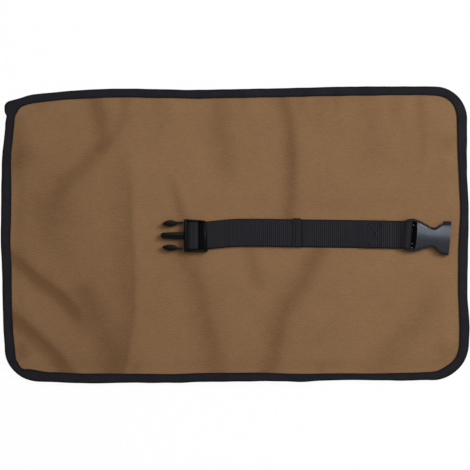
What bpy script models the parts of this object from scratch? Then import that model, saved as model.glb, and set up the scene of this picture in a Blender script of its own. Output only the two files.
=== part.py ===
"""A canvas tool roll, laid open with its outer face up.

The panel is an outer canvas and a lining, bound all round with tape, with nine tool pockets on the
underside. A webbing strap is sewn to the outer face and carries a side release buckle: the plug on
the long left run with its folded back tail, the socket in a short sewn loop on the right. The panel
rolls up at its pocket seams, so every layer is made in strips, one strip for each pocket.
"""

import math

import bmesh
import bpy
from mathutils import Matrix, Vector

# Pockets, side by side between the panel's plain ends
POCKET_COUNT = 9
POCKET_PITCH = 0.050
POCKET_DEPTH = 0.170
POCKET_FULLNESS = 0.0052
POCKET_SEAM_WIDTH = 0.0025
POCKET_EDGE_GAP = 0.0012
END_MARGIN = 0.025

# Panel, seen from above with the outer face up
PANEL_LENGTH = POCKET_COUNT * POCKET_PITCH + 2 * END_MARGIN
PANEL_WIDTH = 0.314
CORNER_RADIUS = 0.033
DRAWN_CORNER_RADIUS = 0.010
LEAST_CORNER_RADIUS = 0.012
CORNER_DROP = 0.013
CORNER_DROP_LENGTH = 0.137
CORNER_STEPS = 7
EDGE_STEPS = 6
FOLD_EDGE_ANGLE = math.radians(60)

# Cloth thicknesses and the clearances between pieces that touch
CANVAS = 0.0010
LINING = 0.0008
POCKET_CLOTH = 0.0008
TAPE = 0.0008
TAPE_WIDTH = 0.0093
TAPE_FOLD_RADIUS = 0.0010
LAYER_GAP = 0.0003
STRIP_GAP = 0.0004
OVERRUN = 0.004
MERGE_DISTANCE = 0.000003
STRAIGHT_ANGLE = math.radians(0.5)
MARKER_SIZE = 0.010

# Rolling: how far the panel turns at each seam on the strap's side, and at the seam beside the socket
ROLL_TURN = math.radians(46)
SOCKET_TURN = ROLL_TURN * 1.25

# Webbing
STRAP_WIDTH = 0.0294
STRAP_CLOTH = 0.0015
STRAP_SIDE_PLAY = 0.0011
BEND_STEPS = 5
STRAP_BEND_COUNT = 4
ANCHOR_FROM_SEAM = 0.0162
ANCHOR_LENGTH = 0.0148
TAIL_SHY = 0.0005
HEM_LENGTH = 0.0110
HEM_RISE = 0.0012
STRAP_BEND_RADIUS = 0.00155
LEAST_MITRE_SHARE = 0.5

# Side release buckle, both halves on the same middle height
BUCKLE_MIDDLE = 0.0045
PLUG_FROM_SEAM = 0.0064
PLUG_LENGTH = 0.0230
PLUG_RAIL = 0.0017
PLUG_WALL_LENGTH = 0.0069
PLUG_WALL_HEIGHT = 0.0080
PLUG_RAIL_HEIGHT = 0.0062
PLUG_EDGE_RADIUS = 0.0009
CENTRE_BAR_LENGTH = 0.0040
CENTRE_BAR_HEIGHT = 0.0021
REAR_BAR_LENGTH = 0.0042
BAR_EDGE_RADIUS = 0.0006
GUIDE_LENGTH = 0.0248
GUIDE_ROOT_WIDTH = 0.0080
GUIDE_TIP_WIDTH = 0.0062
GUIDE_HEIGHT = 0.0046
LATCH_LENGTH = 0.0236
LATCH_ARM_LENGTH = 0.0091
LATCH_ARM_WIDTH = 0.0017
LATCH_BARB_WIDTH = 0.0063
LATCH_HEIGHT = 0.0042
LATCH_SIDE_INSET = 0.0015
LATCH_CATCH = 0.0016
LATCH_STEPS = 6
LATCH_NOSE_SHARE = 0.55
LATCH_OUTER_BOW_SHARE = 0.22
LATCH_INNER_BOW_SHARE = 0.25

SOCKET_FROM_SEAM = 0.0086
SOCKET_TURN_IN_PLANE = math.radians(-5)
SOCKET_LENGTH = 0.0455
SOCKET_MOUTH_WIDTH = 0.0366
SOCKET_HEIGHT = 0.0090
SOCKET_SIDE_PLAY = 0.0009
SOCKET_REAR_RADIUS = 0.0042
SOCKET_BAR_RADIUS = 0.0022
SOCKET_SLOT_SHARE = 0.2176
SOCKET_EDGE_HEIGHT = 0.0064
SOCKET_PLAY = 0.0003
SOCKET_DEPTH = 0.0262
SOCKET_RIB = 0.0009
SOCKET_RIB_HEIGHT = 0.0004
SOCKET_RAMP_LENGTH = 0.0110
ROUND_STEPS = 24

# Socket outline from the webbing bar to the mouth: share of the length, share of half the mouth width
SOCKET_OUTLINE_SHARES = (
    (0.00, 0.925),
    (0.09, 0.945),
    (0.19, 0.905),
    (0.31, 0.785),
    (0.43, 0.620),
    (0.53, 0.525),
    (0.60, 0.500),
    (0.655, 0.540),
    (0.70, 0.690),
    (0.755, 0.870),
    (0.815, 0.955),
    (0.90, 0.985),
    (1.00, 1.000),
)

# Levels above the ground, in the order of the layers
POCKET_TOP = POCKET_CLOTH + POCKET_FULLNESS
SEAM_LEVEL = POCKET_TOP + LAYER_GAP
LINING_TOP = SEAM_LEVEL + LINING
CANVAS_LOW = LINING_TOP + LAYER_GAP
CANVAS_TOP = CANVAS_LOW + CANVAS
TAPE_INNER_TOP = CANVAS_TOP + LAYER_GAP
TAPE_INNER_LOW = SEAM_LEVEL - LAYER_GAP
STRAP_LOW = CANVAS_TOP + LAYER_GAP
STRAP_TOP = STRAP_LOW + STRAP_CLOTH
SECOND_LOW = STRAP_TOP + LAYER_GAP
SECOND_TOP = SECOND_LOW + STRAP_CLOTH
BUCKLE_LEVEL = STRAP_LOW + BUCKLE_MIDDLE

# The strap lies against one side of the buckle's slots
STRAP_Y = STRAP_SIDE_PLAY - LAYER_GAP
PLUG_SLOT_WIDTH = STRAP_WIDTH + 2 * STRAP_SIDE_PLAY
PLUG_WIDTH = PLUG_SLOT_WIDTH + 2 * PLUG_RAIL
LATCH_OUTER_Y = PLUG_WIDTH / 2 - LATCH_SIDE_INSET
LATCH_ARM_Y = LATCH_OUTER_Y - LATCH_CATCH - LATCH_ARM_WIDTH / 2
SOCKET_SLOT_WIDTH = STRAP_WIDTH + 2 * SOCKET_SIDE_PLAY
SOCKET_SLOT_LENGTH = SOCKET_LENGTH * SOCKET_SLOT_SHARE
SOCKET_HOLLOW_WIDTH = 2 * (LATCH_OUTER_Y - LATCH_CATCH)
SOCKET_HOLLOW_HEIGHT = GUIDE_HEIGHT + 2 * (SOCKET_PLAY + SOCKET_RIB_HEIGHT)

# Names of the faces that an outline is drawn on: how its x, y and depth lie in the world
FLAT = Matrix.Identity(4)
SIDE = Matrix(((1, 0, 0, 0), (0, 0, -1, 0), (0, 1, 0, 0), (0, 0, 0, 1)))
END = Matrix(((0, 0, 1, 0), (1, 0, 0, 0), (0, 1, 0, 0), (0, 0, 0, 1)))


def seam_x(number):
    """Place of the seam between pocket strips number and number + 1."""
    return POCKET_PITCH * (number - POCKET_COUNT / 2)


def strap_bend_x(order):
    """Place of the strap's bend over the order-th seam left of the sewn patch.

    The webbing lies outside the seam's turning line, so each bend sits further out than its seam.
    """
    outside = (STRAP_LOW - SEAM_LEVEL) * math.tan(ROLL_TURN / 2)
    return seam_x(POCKET_COUNT - 1 - order) - (2 * order - 1) * outside


ANCHOR_X = seam_x(POCKET_COUNT - 2) + ANCHOR_FROM_SEAM
ANCHOR_END_X = ANCHOR_X + ANCHOR_LENGTH
LOOP_BEND_X = seam_x(POCKET_COUNT - 1) + (STRAP_LOW - SEAM_LEVEL) * math.tan(SOCKET_TURN / 2)
SOCKET_BAR_X = seam_x(POCKET_COUNT - 1) + SOCKET_FROM_SEAM
PLUG_REAR_X = seam_x(POCKET_COUNT - 5) - PLUG_FROM_SEAM
PLUG_FRONT_X = PLUG_REAR_X - PLUG_LENGTH
PLUG_WALL_X = PLUG_FRONT_X + PLUG_WALL_LENGTH


def clear_scene():
    """Remove everything that the file opened with."""
    for obj in list(bpy.data.objects):
        bpy.data.objects.remove(obj, do_unlink=True)


def collection(name):
    """A new collection in the scene."""
    made = bpy.data.collections.new(name)
    bpy.context.scene.collection.children.link(made)
    return made


def finish(name, colour, roughness, metallic=0.0):
    """A plain surface for one sub-part."""
    material = bpy.data.materials.new(name)
    material.use_nodes = True
    shader = material.node_tree.nodes["Principled BSDF"]
    shader.inputs["Base Color"].default_value = (*colour, 1.0)
    shader.inputs["Roughness"].default_value = roughness
    shader.inputs["Metallic"].default_value = metallic
    material.diffuse_color = (*colour, 1.0)
    return material


def arc(centre, radius, start, end, steps):
    """Points on a circle's arc, both ends included, angles in degrees."""
    return [
        (
            centre[0] + radius * math.cos(math.radians(start + (end - start) * n / steps)),
            centre[1] + radius * math.sin(math.radians(start + (end - start) * n / steps)),
        )
        for n in range(steps + 1)
    ]


def link_mesh(name, bm, parts):
    """Put a bmesh in the scene as an object of the given collection."""
    bmesh.ops.recalc_face_normals(bm, faces=bm.faces)
    mesh = bpy.data.meshes.new(name)
    bm.to_mesh(mesh)
    bm.free()
    obj = bpy.data.objects.new(name, mesh)
    parts.objects.link(obj)
    return obj


def baked(obj):
    """A bmesh of the object as its modifiers or its curve leave it, in world space."""
    bpy.context.view_layer.update()
    evaluated = obj.evaluated_get(bpy.context.evaluated_depsgraph_get())
    mesh = bpy.data.meshes.new_from_object(evaluated)
    bm = bmesh.new()
    bm.from_mesh(mesh)
    bm.transform(obj.matrix_world)
    bpy.data.meshes.remove(mesh)
    return bm


def prism(name, outline, low, high, parts, face=FLAT):
    """A flat outline drawn on a face and extruded from low to high across it."""
    curve = bpy.data.curves.new(name, "CURVE")
    curve.dimensions = "2D"
    curve.fill_mode = "BOTH"
    curve.extrude = (high - low) / 2
    spline = curve.splines.new("POLY")
    spline.points.add(len(outline) - 1)
    for point, (x, y) in zip(spline.points, outline):
        point.co = (x, y, 0, 1)
    spline.use_cyclic_u = True
    obj = bpy.data.objects.new(name, curve)
    parts.objects.link(obj)
    obj.matrix_world = face @ Matrix.Translation((0, 0, (low + high) / 2))
    bm = baked(obj)
    bmesh.ops.remove_doubles(bm, verts=bm.verts, dist=MERGE_DISTANCE)
    bmesh.ops.dissolve_limit(bm, angle_limit=STRAIGHT_ANGLE, verts=bm.verts, edges=bm.edges)
    bpy.data.objects.remove(obj, do_unlink=True)
    bpy.data.curves.remove(curve)
    return link_mesh(name, bm, parts)


def box(name, low, high, parts, radius=0.0, segments=2):
    """A box between two corners, with its edges rounded when a radius is given."""
    bm = bmesh.new()
    size = Vector(high) - Vector(low)
    bmesh.ops.create_cube(bm, size=1)
    bmesh.ops.scale(bm, vec=size, verts=bm.verts)
    bmesh.ops.translate(bm, vec=(Vector(low) + Vector(high)) / 2, verts=bm.verts)
    if radius:
        bmesh.ops.bevel(
            bm,
            geom=bm.edges,
            offset=radius,
            segments=segments,
            profile=0.5,
            affect="EDGES",
            material=-1,
        )
    return link_mesh(name, bm, parts)


def hopper(name, half_width, y_low, y_high, z_low, z_high, parts):
    """A box whose sides and lower end lean in by 45 degrees towards its underside."""
    obj = box(name, (-half_width, y_low, z_low), (half_width, y_high, z_high), parts)
    lean = z_high - z_low
    middle = Vector((0, (y_low + y_high) / 2, (z_low + z_high) / 2))
    for vertex in obj.data.vertices:
        if vertex.co.z < middle.z:
            vertex.co.x -= math.copysign(lean, vertex.co.x)
            if vertex.co.y < middle.y:
                vertex.co.y += lean
    return obj


def as_cutter(obj):
    """Mark a solid as a tool that shapes another piece."""
    obj.hide_render = True
    obj.display_type = "WIRE"
    return obj


def combine(obj, operation, tool):
    """Join a tool to the piece, cut it out, or keep what both share."""
    modifier = obj.modifiers.new(tool.name, "BOOLEAN")
    modifier.operation = operation
    modifier.solver = "EXACT"
    modifier.object = as_cutter(tool)


def dress(obj, material, joint=None):
    """Give a piece its finish and hang it on the empty of its joint, with its origin on the axis."""
    obj.data.materials.clear()
    obj.data.materials.append(material)
    if joint is None:
        return obj
    obj.data.transform(Matrix.Translation(-joint.matrix_world.translation))
    obj.parent = joint
    return obj


def pivot(name, location, parts, parent=None):
    """An empty on a joint's axis, hung on the joint that carries it."""
    empty = bpy.data.objects.new(name, None)
    empty.empty_display_size = MARKER_SIZE
    parts.objects.link(empty)
    empty.location = location
    if parent:
        empty.parent = parent
        empty.location = Vector(location) - parent.matrix_world.translation
    bpy.context.view_layer.update()
    return empty


def edge_drop(x, length):
    """How far the upper edge is drawn in towards the upper left corner."""
    start = -length / 2 + CORNER_DROP_LENGTH
    return CORNER_DROP * (max(0, start - x) / CORNER_DROP_LENGTH) ** 2


def panel_outline(inset):
    """The panel's outline, moved in by a distance, counter-clockwise from its lower right corner."""
    right = PANEL_LENGTH / 2 - inset
    top = PANEL_WIDTH / 2 - inset
    radius = max(CORNER_RADIUS - inset, LEAST_CORNER_RADIUS)
    drawn = max(DRAWN_CORNER_RADIUS, min(DRAWN_CORNER_RADIUS + inset, LEAST_CORNER_RADIUS))
    points = arc((right - radius, -top + radius), radius, -90, 0, CORNER_STEPS)
    points += arc((right - radius, top - radius), radius, 0, 90, CORNER_STEPS)
    start = CORNER_DROP_LENGTH - PANEL_LENGTH / 2
    end = drawn - right
    for n in range(EDGE_STEPS):
        x = start + (end - start) * n / EDGE_STEPS
        points.append((x, top - edge_drop(x, PANEL_LENGTH)))
    corner = (end, top - edge_drop(end, PANEL_LENGTH) - drawn)
    points += arc(corner, drawn, 90, 180, CORNER_STEPS)
    points += arc((radius - right, radius - top), radius, 180, 270, CORNER_STEPS)
    return points


def cut_off(bm, point, normal):
    """Cut a solid at a plane, drop the side that the normal points to and close the cut."""
    geometry = bm.verts[:] + bm.edges[:] + bm.faces[:]
    bmesh.ops.bisect_plane(bm, geom=geometry, plane_co=point, plane_no=normal, clear_outer=True)
    open_edges = [edge for edge in bm.edges if edge.is_boundary]
    bmesh.ops.holes_fill(bm, edges=open_edges, sides=0)


def strip_of(whole, name, number, parts, side=0):
    """The stretch of a layer that belongs to one pocket strip.

    Below the seams' turning line the ends lean back by 45 degrees, so that neighbouring strips can
    fold together. side keeps only the upper (1) or lower (-1) edge of a ring.
    """
    bm = baked(whole)
    for seam, away in ((number - 1, -1), (number, 1)):
        if 0 < seam < POCKET_COUNT:
            point = Vector((seam_x(seam) - away * STRIP_GAP / 2, 0, SEAM_LEVEL))
            cut_off(bm, point, Vector((away, 0, 0)))
            cut_off(bm, point, Vector((away, 0, -1)).normalized())
    if side:
        cut_off(bm, Vector(), Vector((0, -side, 0)))
    return link_mesh(name, bm, parts)


def make_layers(parts, cutters, joints, looks):
    """The outer canvas, the lining and the edge tape, each cut from one whole layer."""
    inset = TAPE + LAYER_GAP
    canvas = prism("whole_canvas", panel_outline(inset), CANVAS_LOW, CANVAS_TOP, cutters)
    lining = prism("whole_lining", panel_outline(inset), SEAM_LEVEL, LINING_TOP, cutters)
    low, high = TAPE_INNER_LOW - TAPE, TAPE_INNER_TOP + TAPE
    tape = prism("whole_tape", panel_outline(0), low, high, cutters)
    fold = tape.modifiers.new("fold", "BEVEL")
    fold.width = TAPE_FOLD_RADIUS
    fold.segments = 2
    fold.limit_method = "ANGLE"
    fold.angle_limit = FOLD_EDGE_ANGLE
    inside = prism("tape_inside", panel_outline(TAPE), TAPE_INNER_LOW, TAPE_INNER_TOP, cutters)
    combine(tape, "DIFFERENCE", inside)
    window = prism("tape_window", panel_outline(TAPE_WIDTH), low - OVERRUN, high + OVERRUN, cutters)
    combine(tape, "DIFFERENCE", window)
    for number in range(1, POCKET_COUNT + 1):
        joint = joints[number]
        dress(strip_of(canvas, f"outer_{number}", number, parts), looks["canvas"], joint)
        dress(strip_of(lining, f"lining_{number}", number, parts), looks["lining"], joint)
        if number in (1, POCKET_COUNT):
            end = "left" if number == 1 else "right"
            dress(strip_of(tape, f"binding_{end}_end", number, parts), looks["tape"], joint)
            continue
        for edge, side in (("top", 1), ("bottom", -1)):
            piece = strip_of(tape, f"binding_{edge}_{number}", number, parts, side)
            dress(piece, looks["tape"], joint)
    for whole in (canvas, lining, tape):
        as_cutter(whole)


def make_pockets(parts, cutters, joints, looks):
    """One open-topped pocket for each strip: a full front with leaning walls and a flat sewn margin."""
    lowest = -PANEL_WIDTH / 2 + TAPE_WIDTH + POCKET_EDGE_GAP
    mouth = lowest + POCKET_DEPTH
    lean = SEAM_LEVEL - POCKET_TOP + POCKET_CLOTH
    margin = (POCKET_PITCH - STRIP_GAP) / 2 - lean
    body = margin - POCKET_SEAM_WIDTH
    margin_low = POCKET_TOP - POCKET_CLOTH
    wall = POCKET_CLOTH * math.sqrt(2)
    half_cloth = POCKET_CLOTH / 2
    lower_seam = lowest + POCKET_SEAM_WIDTH
    for number in range(1, POCKET_COUNT + 1):
        name = f"pocket_{number}"
        pocket = box(name, (-margin, lowest, margin_low), (margin, mouth, POCKET_TOP), parts)
        front = hopper(f"{name}_front", body + half_cloth, lower_seam - half_cloth, mouth,
                       0, margin_low + half_cloth, cutters)
        hollow = hopper(f"{name}_hollow", body + POCKET_CLOTH + OVERRUN - wall,
                        lower_seam + wall - POCKET_CLOTH - OVERRUN, mouth + OVERRUN,
                        POCKET_CLOTH, POCKET_TOP + OVERRUN, cutters)
        combine(pocket, "UNION", front)
        combine(pocket, "DIFFERENCE", hollow)
        centre = (seam_x(number - 1) + seam_x(number)) / 2
        for piece in (pocket, front, hollow):
            piece.data.transform(Matrix.Translation((centre, 0, 0)))
        dress(pocket, looks["pocket"], joints[number])


def rounded_path(points, radius, steps):
    """A polyline whose inner corners are replaced by arcs of one radius."""
    path = [Vector(points[0])]
    for before, corner, after in zip(points, points[1:], points[2:]):
        corner = Vector(corner)
        come = (Vector(before) - corner).normalized()
        leave = (Vector(after) - corner).normalized()
        half = come.angle(leave) / 2
        reach = radius / math.tan(half)
        centre = corner + (come + leave).normalized() * radius / math.sin(half)
        first = corner + come * reach - centre
        last = corner + leave * reach - centre
        sweep = first.angle_signed(last)
        for n in range(steps + 1):
            path.append(centre + Matrix.Rotation(-sweep * n / steps, 2) @ first)
    path.append(Vector(points[-1]))
    return path


def ribbon(path, thickness):
    """The outline of a band of even thickness along a path."""
    left, right = [], []
    for n, point in enumerate(path):
        before = path[max(n - 1, 0)]
        after = path[min(n + 1, len(path) - 1)]
        ways = [(b - a).normalized() for a, b in ((before, point), (point, after)) if (b - a).length]
        way = sum(ways, Vector((0, 0))).normalized()
        across = Vector((-way.y, way.x)) * thickness / 2 / max(way.dot(ways[0]), LEAST_MITRE_SHARE)
        left.append(tuple(point + across))
        right.append(tuple(point - across))
    return left + right[::-1]


def band(name, outline, parts):
    """A piece of the strap: its edge outline, drawn from the side, across the webbing's width."""
    return prism(name, outline, -STRAP_Y - STRAP_WIDTH / 2, -STRAP_Y + STRAP_WIDTH / 2, parts, SIDE)


def flat_run(name, left, right, low, high, parts):
    """A flat stretch of webbing."""
    return band(name, [(left, low), (right, low), (right, high), (left, high)], parts)


def make_strap(parts, joints, looks):
    """The webbing: the sewn patch, the left run in five stretches with its tail, and the loop."""
    half_gap = STRIP_GAP / 2
    webbing = looks["webbing"]
    anchor = flat_run("strap_anchor", ANCHOR_X, ANCHOR_END_X, STRAP_LOW, SECOND_TOP, parts)
    dress(anchor, webbing, joints["anchor"])
    bends = [ANCHOR_X] + [strap_bend_x(order) for order in range(1, STRAP_BEND_COUNT + 1)]
    for order in range(STRAP_BEND_COUNT):
        right = bends[order] - (half_gap if order else 2 * LAYER_GAP)
        left = bends[order + 1] + half_gap
        run = flat_run(f"strap_run_{order + 1}", left, right, STRAP_LOW, STRAP_TOP, parts)
        dress(run, webbing, joints[f"bend_{order}"])

    tail_end = bends[2] - half_gap - TAIL_SHY
    hem = tail_end - HEM_LENGTH
    outline = [
        (bends[3] + half_gap, SECOND_LOW),
        (tail_end, SECOND_LOW),
        (tail_end, SECOND_TOP + HEM_RISE),
        (hem, SECOND_TOP + HEM_RISE),
        (hem - HEM_RISE, SECOND_TOP),
        (bends[3] + half_gap, SECOND_TOP),
    ]
    dress(band("strap_tail_end", outline, parts), webbing, joints["bend_2"])
    left, right = bends[4] + half_gap, bends[3] - half_gap
    middle = flat_run("strap_tail_middle", left, right, SECOND_LOW, SECOND_TOP, parts)
    dress(middle, webbing, joints["bend_3"])
    make_plug_loop(bends[4] - half_gap, parts, joints, webbing)
    make_socket_loop(parts, joints, webbing)


def make_plug_loop(start, parts, joints, webbing):
    """The webbing's turn through the plug: under it, up, over the centre bar and back as the tail."""
    half = STRAP_CLOTH / 2
    bar_front = PLUG_WALL_X + STRAP_CLOTH + 2 * LAYER_GAP
    bar_top = SECOND_TOP + LAYER_GAP + CENTRE_BAR_HEIGHT
    front = bar_front - LAYER_GAP - half
    rear = bar_front + CENTRE_BAR_LENGTH + LAYER_GAP + half + BAR_EDGE_RADIUS
    over = bar_top + LAYER_GAP + half
    corners = [
        (start, STRAP_LOW + half),
        (front, STRAP_LOW + half),
        (front, over),
        (rear, over),
        (rear, SECOND_LOW + half),
        (start, SECOND_LOW + half),
    ]
    path = rounded_path(corners, STRAP_BEND_RADIUS, BEND_STEPS)
    dress(band("plug_loop", ribbon(path, STRAP_CLOTH), parts), webbing, joints["bend_4"])


def tangent_point(outside, centre, radius, side):
    """Where a line from an outside point touches a circle, on its upper (1) or lower (-1) side."""
    to_point = Vector(outside) - Vector(centre)
    lean = math.acos(radius / to_point.length)
    way = Matrix.Rotation(-side * lean, 2) @ to_point.normalized()
    return Vector(centre) + way * radius


def on_line(a, b, x):
    """The point of the line through a and b at x."""
    share = (x - a[0]) / (b[0] - a[0])
    return (x, a[1] + (b[1] - a[1]) * share)


def make_socket_loop(parts, joints, webbing):
    """The short loop: two layers from the sewn patch that part towards the socket's bar."""
    half = STRAP_CLOTH / 2
    centre = (SOCKET_BAR_X, BUCKLE_LEVEL)
    radius = SOCKET_BAR_RADIUS + LAYER_GAP + half
    start_x = ANCHOR_END_X + 2 * LAYER_GAP
    lower_start = (start_x, STRAP_LOW + half)
    upper_start = (start_x, SECOND_LOW + half)
    lower_touch = tangent_point(lower_start, centre, radius, -1)
    upper_touch = tangent_point(upper_start, centre, radius, 1)
    before = LOOP_BEND_X - STRIP_GAP / 2
    after = LOOP_BEND_X + STRIP_GAP / 2
    layers = {"lower": (lower_start, lower_touch), "upper": (upper_start, upper_touch)}
    for layer, (start, touch) in layers.items():
        path = [Vector(start), Vector(on_line(start, touch, before))]
        run = band(f"socket_strap_{layer}", ribbon(path, STRAP_CLOTH), parts)
        dress(run, webbing, joints["loop_lift"])
    first = lower_touch - Vector(centre)
    last = upper_touch - Vector(centre)
    sweep = first.angle_signed(last)
    turn = 2 * math.pi - sweep if sweep > 0 else -sweep
    path = [Vector(on_line(lower_start, lower_touch, after))]
    steps = 3 * BEND_STEPS
    for n in range(steps + 1):
        path.append(Vector(centre) + Matrix.Rotation(turn * n / steps, 2) @ first)
    path.append(Vector(on_line(upper_start, upper_touch, after)))
    loop = band("socket_loop", ribbon(path, STRAP_CLOTH), parts)
    straight = SOCKET_BAR_X - SOCKET_REAR_RADIUS - after
    for vertex in loop.data.vertices:
        share = min(1, max(0, (vertex.co.x - after) / straight))
        vertex.co.x -= share * (vertex.co.y - STRAP_Y) * math.tan(SOCKET_TURN_IN_PLANE)
    dress(loop, webbing, joints["loop_bend"])


def make_plug(parts, cutters, joints, looks):
    """The plug: a ladder frame for the webbing, a stop wall, the centre guide and two latches."""
    plastic = looks["plug"]
    half = PLUG_WIDTH / 2
    slot = PLUG_SLOT_WIDTH / 2
    bar_low = SECOND_TOP + LAYER_GAP
    bar_high = bar_low + CENTRE_BAR_HEIGHT
    rail_high = BUCKLE_LEVEL + PLUG_RAIL_HEIGHT / 2
    rail_low = BUCKLE_LEVEL - PLUG_RAIL_HEIGHT / 2
    rear_bar_x = PLUG_REAR_X - REAR_BAR_LENGTH
    bar_front = PLUG_WALL_X + STRAP_CLOTH + 2 * LAYER_GAP

    frame = box("plug_body", (PLUG_FRONT_X + PLUG_EDGE_RADIUS, -half, rail_low),
                (PLUG_REAR_X, half, rail_high), parts, PLUG_EDGE_RADIUS)
    wall = box("plug_wall", (PLUG_FRONT_X, -half, BUCKLE_LEVEL - PLUG_WALL_HEIGHT / 2),
               (PLUG_WALL_X, half, BUCKLE_LEVEL + PLUG_WALL_HEIGHT / 2), cutters, PLUG_EDGE_RADIUS)
    ladder = box("plug_ladder", (PLUG_WALL_X, -slot, rail_low - OVERRUN),
                 (rear_bar_x, slot, rail_high + OVERRUN), cutters)
    passage = box("plug_passage", (PLUG_WALL_X, -slot, rail_low - OVERRUN),
                  (PLUG_REAR_X + OVERRUN, slot, bar_low), cutters)
    bar_end = slot + PLUG_RAIL / 2
    centre_bar = box("plug_centre_bar", (bar_front, -bar_end, bar_low),
                     (bar_front + CENTRE_BAR_LENGTH, bar_end, bar_high), cutters, BAR_EDGE_RADIUS)
    tip = PLUG_FRONT_X - GUIDE_LENGTH
    nose = GUIDE_TIP_WIDTH / 2
    outline = arc((tip + nose, 0), nose, 90, 270, LATCH_STEPS)
    root = PLUG_FRONT_X + PLUG_WALL_LENGTH / 2
    outline += [(root, -GUIDE_ROOT_WIDTH / 2), (root, GUIDE_ROOT_WIDTH / 2)]
    guide_low = BUCKLE_LEVEL - GUIDE_HEIGHT / 2
    guide = prism("plug_guide", outline, guide_low, guide_low + GUIDE_HEIGHT, cutters)
    combine(frame, "UNION", wall)
    combine(frame, "DIFFERENCE", ladder)
    combine(frame, "DIFFERENCE", passage)
    combine(frame, "UNION", centre_bar)
    combine(frame, "UNION", guide)
    dress(frame, plastic, joints["bend_4"])

    for side, name in ((1, "upper"), (-1, "lower")):
        latch = prism(f"plug_latch_{name}", [(x, side * y) for x, y in latch_outline()],
                      BUCKLE_LEVEL - LATCH_HEIGHT / 2, BUCKLE_LEVEL + LATCH_HEIGHT / 2, parts)
        dress(latch, plastic, joints[f"latch_{name}"])


def latch_outline():
    """One latch from above: a slim springy arm and a barb with a square shoulder and a pointed nose."""
    root = PLUG_FRONT_X - LAYER_GAP
    shoulder = PLUG_FRONT_X - LATCH_ARM_LENGTH
    tip = PLUG_FRONT_X - LATCH_LENGTH
    outer = LATCH_OUTER_Y
    inner = outer - LATCH_BARB_WIDTH
    arm = outer - LATCH_CATCH
    nose_y = outer - LATCH_BARB_WIDTH * LATCH_NOSE_SHARE
    nose = (tip, nose_y)
    points = [(root, arm), (shoulder, arm), (shoulder, outer)]
    points += bow((shoulder, outer), nose, LATCH_BARB_WIDTH * LATCH_OUTER_BOW_SHARE)
    points += bow(nose, (shoulder, inner + LATCH_ARM_WIDTH), LATCH_BARB_WIDTH * LATCH_INNER_BOW_SHARE)
    points += [(shoulder, arm - LATCH_ARM_WIDTH), (root, arm - LATCH_ARM_WIDTH)]
    return points


def bow(start, end, rise):
    """Points of a bowed line after its start, its middle standing out by the rise on its right."""
    a, b = Vector(start), Vector(end)
    across = Vector((b.y - a.y, a.x - b.x)).normalized()
    points = []
    for n in range(1, LATCH_STEPS + 1):
        share = n / LATCH_STEPS
        points.append(tuple(a.lerp(b, share) + across * rise * 4 * share * (1 - share)))
    return points


def make_socket(parts, cutters, joints, looks):
    """The socket: an hourglass shell with a hollow mouth, side windows and a slotted rear bar."""
    middle = SOCKET_HEIGHT / 2
    mouth = SOCKET_MOUTH_WIDTH / 2
    past_mouth = SOCKET_LENGTH + OVERRUN
    past_rear = -SOCKET_REAR_RADIUS - OVERRUN
    past_side = mouth + OVERRUN
    upper = [(SOCKET_LENGTH * u, mouth * v) for u, v in SOCKET_OUTLINE_SHARES]
    lower = [(u, -v) for u, v in upper]
    rear = upper[0][1]
    outline = [(-SOCKET_REAR_RADIUS, -rear), *lower, *upper[::-1], (-SOCKET_REAR_RADIUS, rear)]
    body = prism("socket", outline, -middle, middle, parts)

    side = arc((0, 0), SOCKET_REAR_RADIUS, 90, 270, ROUND_STEPS // 2)
    side += [(SOCKET_SLOT_LENGTH, -middle), (past_mouth, -middle)]
    side += [(past_mouth, middle), (SOCKET_SLOT_LENGTH, middle)]
    combine(body, "INTERSECT", prism("socket_side", side, -past_side, past_side, cutters, SIDE))
    crown = crown_outline(mouth, middle, SOCKET_EDGE_HEIGHT / 2)
    combine(body, "INTERSECT", prism("socket_crown", crown, past_rear, past_mouth, cutters, END))

    slot = SOCKET_SLOT_WIDTH / 2
    opening = box("socket_slot", (past_rear, -slot, -middle - OVERRUN),
                  (SOCKET_SLOT_LENGTH, slot, middle + OVERRUN), cutters)
    combine(body, "DIFFERENCE", opening)
    ring = arc((0, 0), SOCKET_BAR_RADIUS, 0, 360 - 360 / ROUND_STEPS, ROUND_STEPS - 1)
    bar_end = (slot + rear) / 2
    combine(body, "UNION", prism("socket_bar", ring, -bar_end, bar_end, cutters, SIDE))

    high = SOCKET_HOLLOW_HEIGHT / 2
    wide = SOCKET_HOLLOW_WIDTH / 2
    floor = SOCKET_LENGTH - SOCKET_DEPTH
    catch = SOCKET_LENGTH - LATCH_ARM_LENGTH + SOCKET_PLAY
    hollow = box("socket_hollow", (floor, -wide, -high), (past_mouth, wide, high), cutters)
    windows = box("socket_windows", (floor, -past_side, -high), (catch, past_side, high), cutters)
    combine(body, "DIFFERENCE", hollow)
    combine(body, "DIFFERENCE", windows)
    channel = GUIDE_ROOT_WIDTH / 2 + SOCKET_PLAY
    for level, height in (("upper", high), ("lower", -high)):
        for hand, near in (("left", channel), ("right", -channel - SOCKET_RIB)):
            low_corner = (floor - SOCKET_RIB, near, height - SOCKET_RIB_HEIGHT)
            far = near + SOCKET_RIB
            high_corner = (SOCKET_LENGTH - SOCKET_RAMP_LENGTH, far, height + SOCKET_RIB_HEIGHT)
            rib = box(f"socket_rib_{level}_{hand}", low_corner, high_corner, cutters)
            combine(body, "UNION", rib)
    turn = Matrix.Rotation(SOCKET_TURN_IN_PLANE, 4, "Z")
    place = Matrix.Translation((SOCKET_BAR_X, STRAP_Y, BUCKLE_LEVEL)) @ turn
    for piece in [body] + [modifier.object for modifier in body.modifiers]:
        piece.data.transform(place)
    dress(body, looks["socket"], joints["swivel"])


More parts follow.
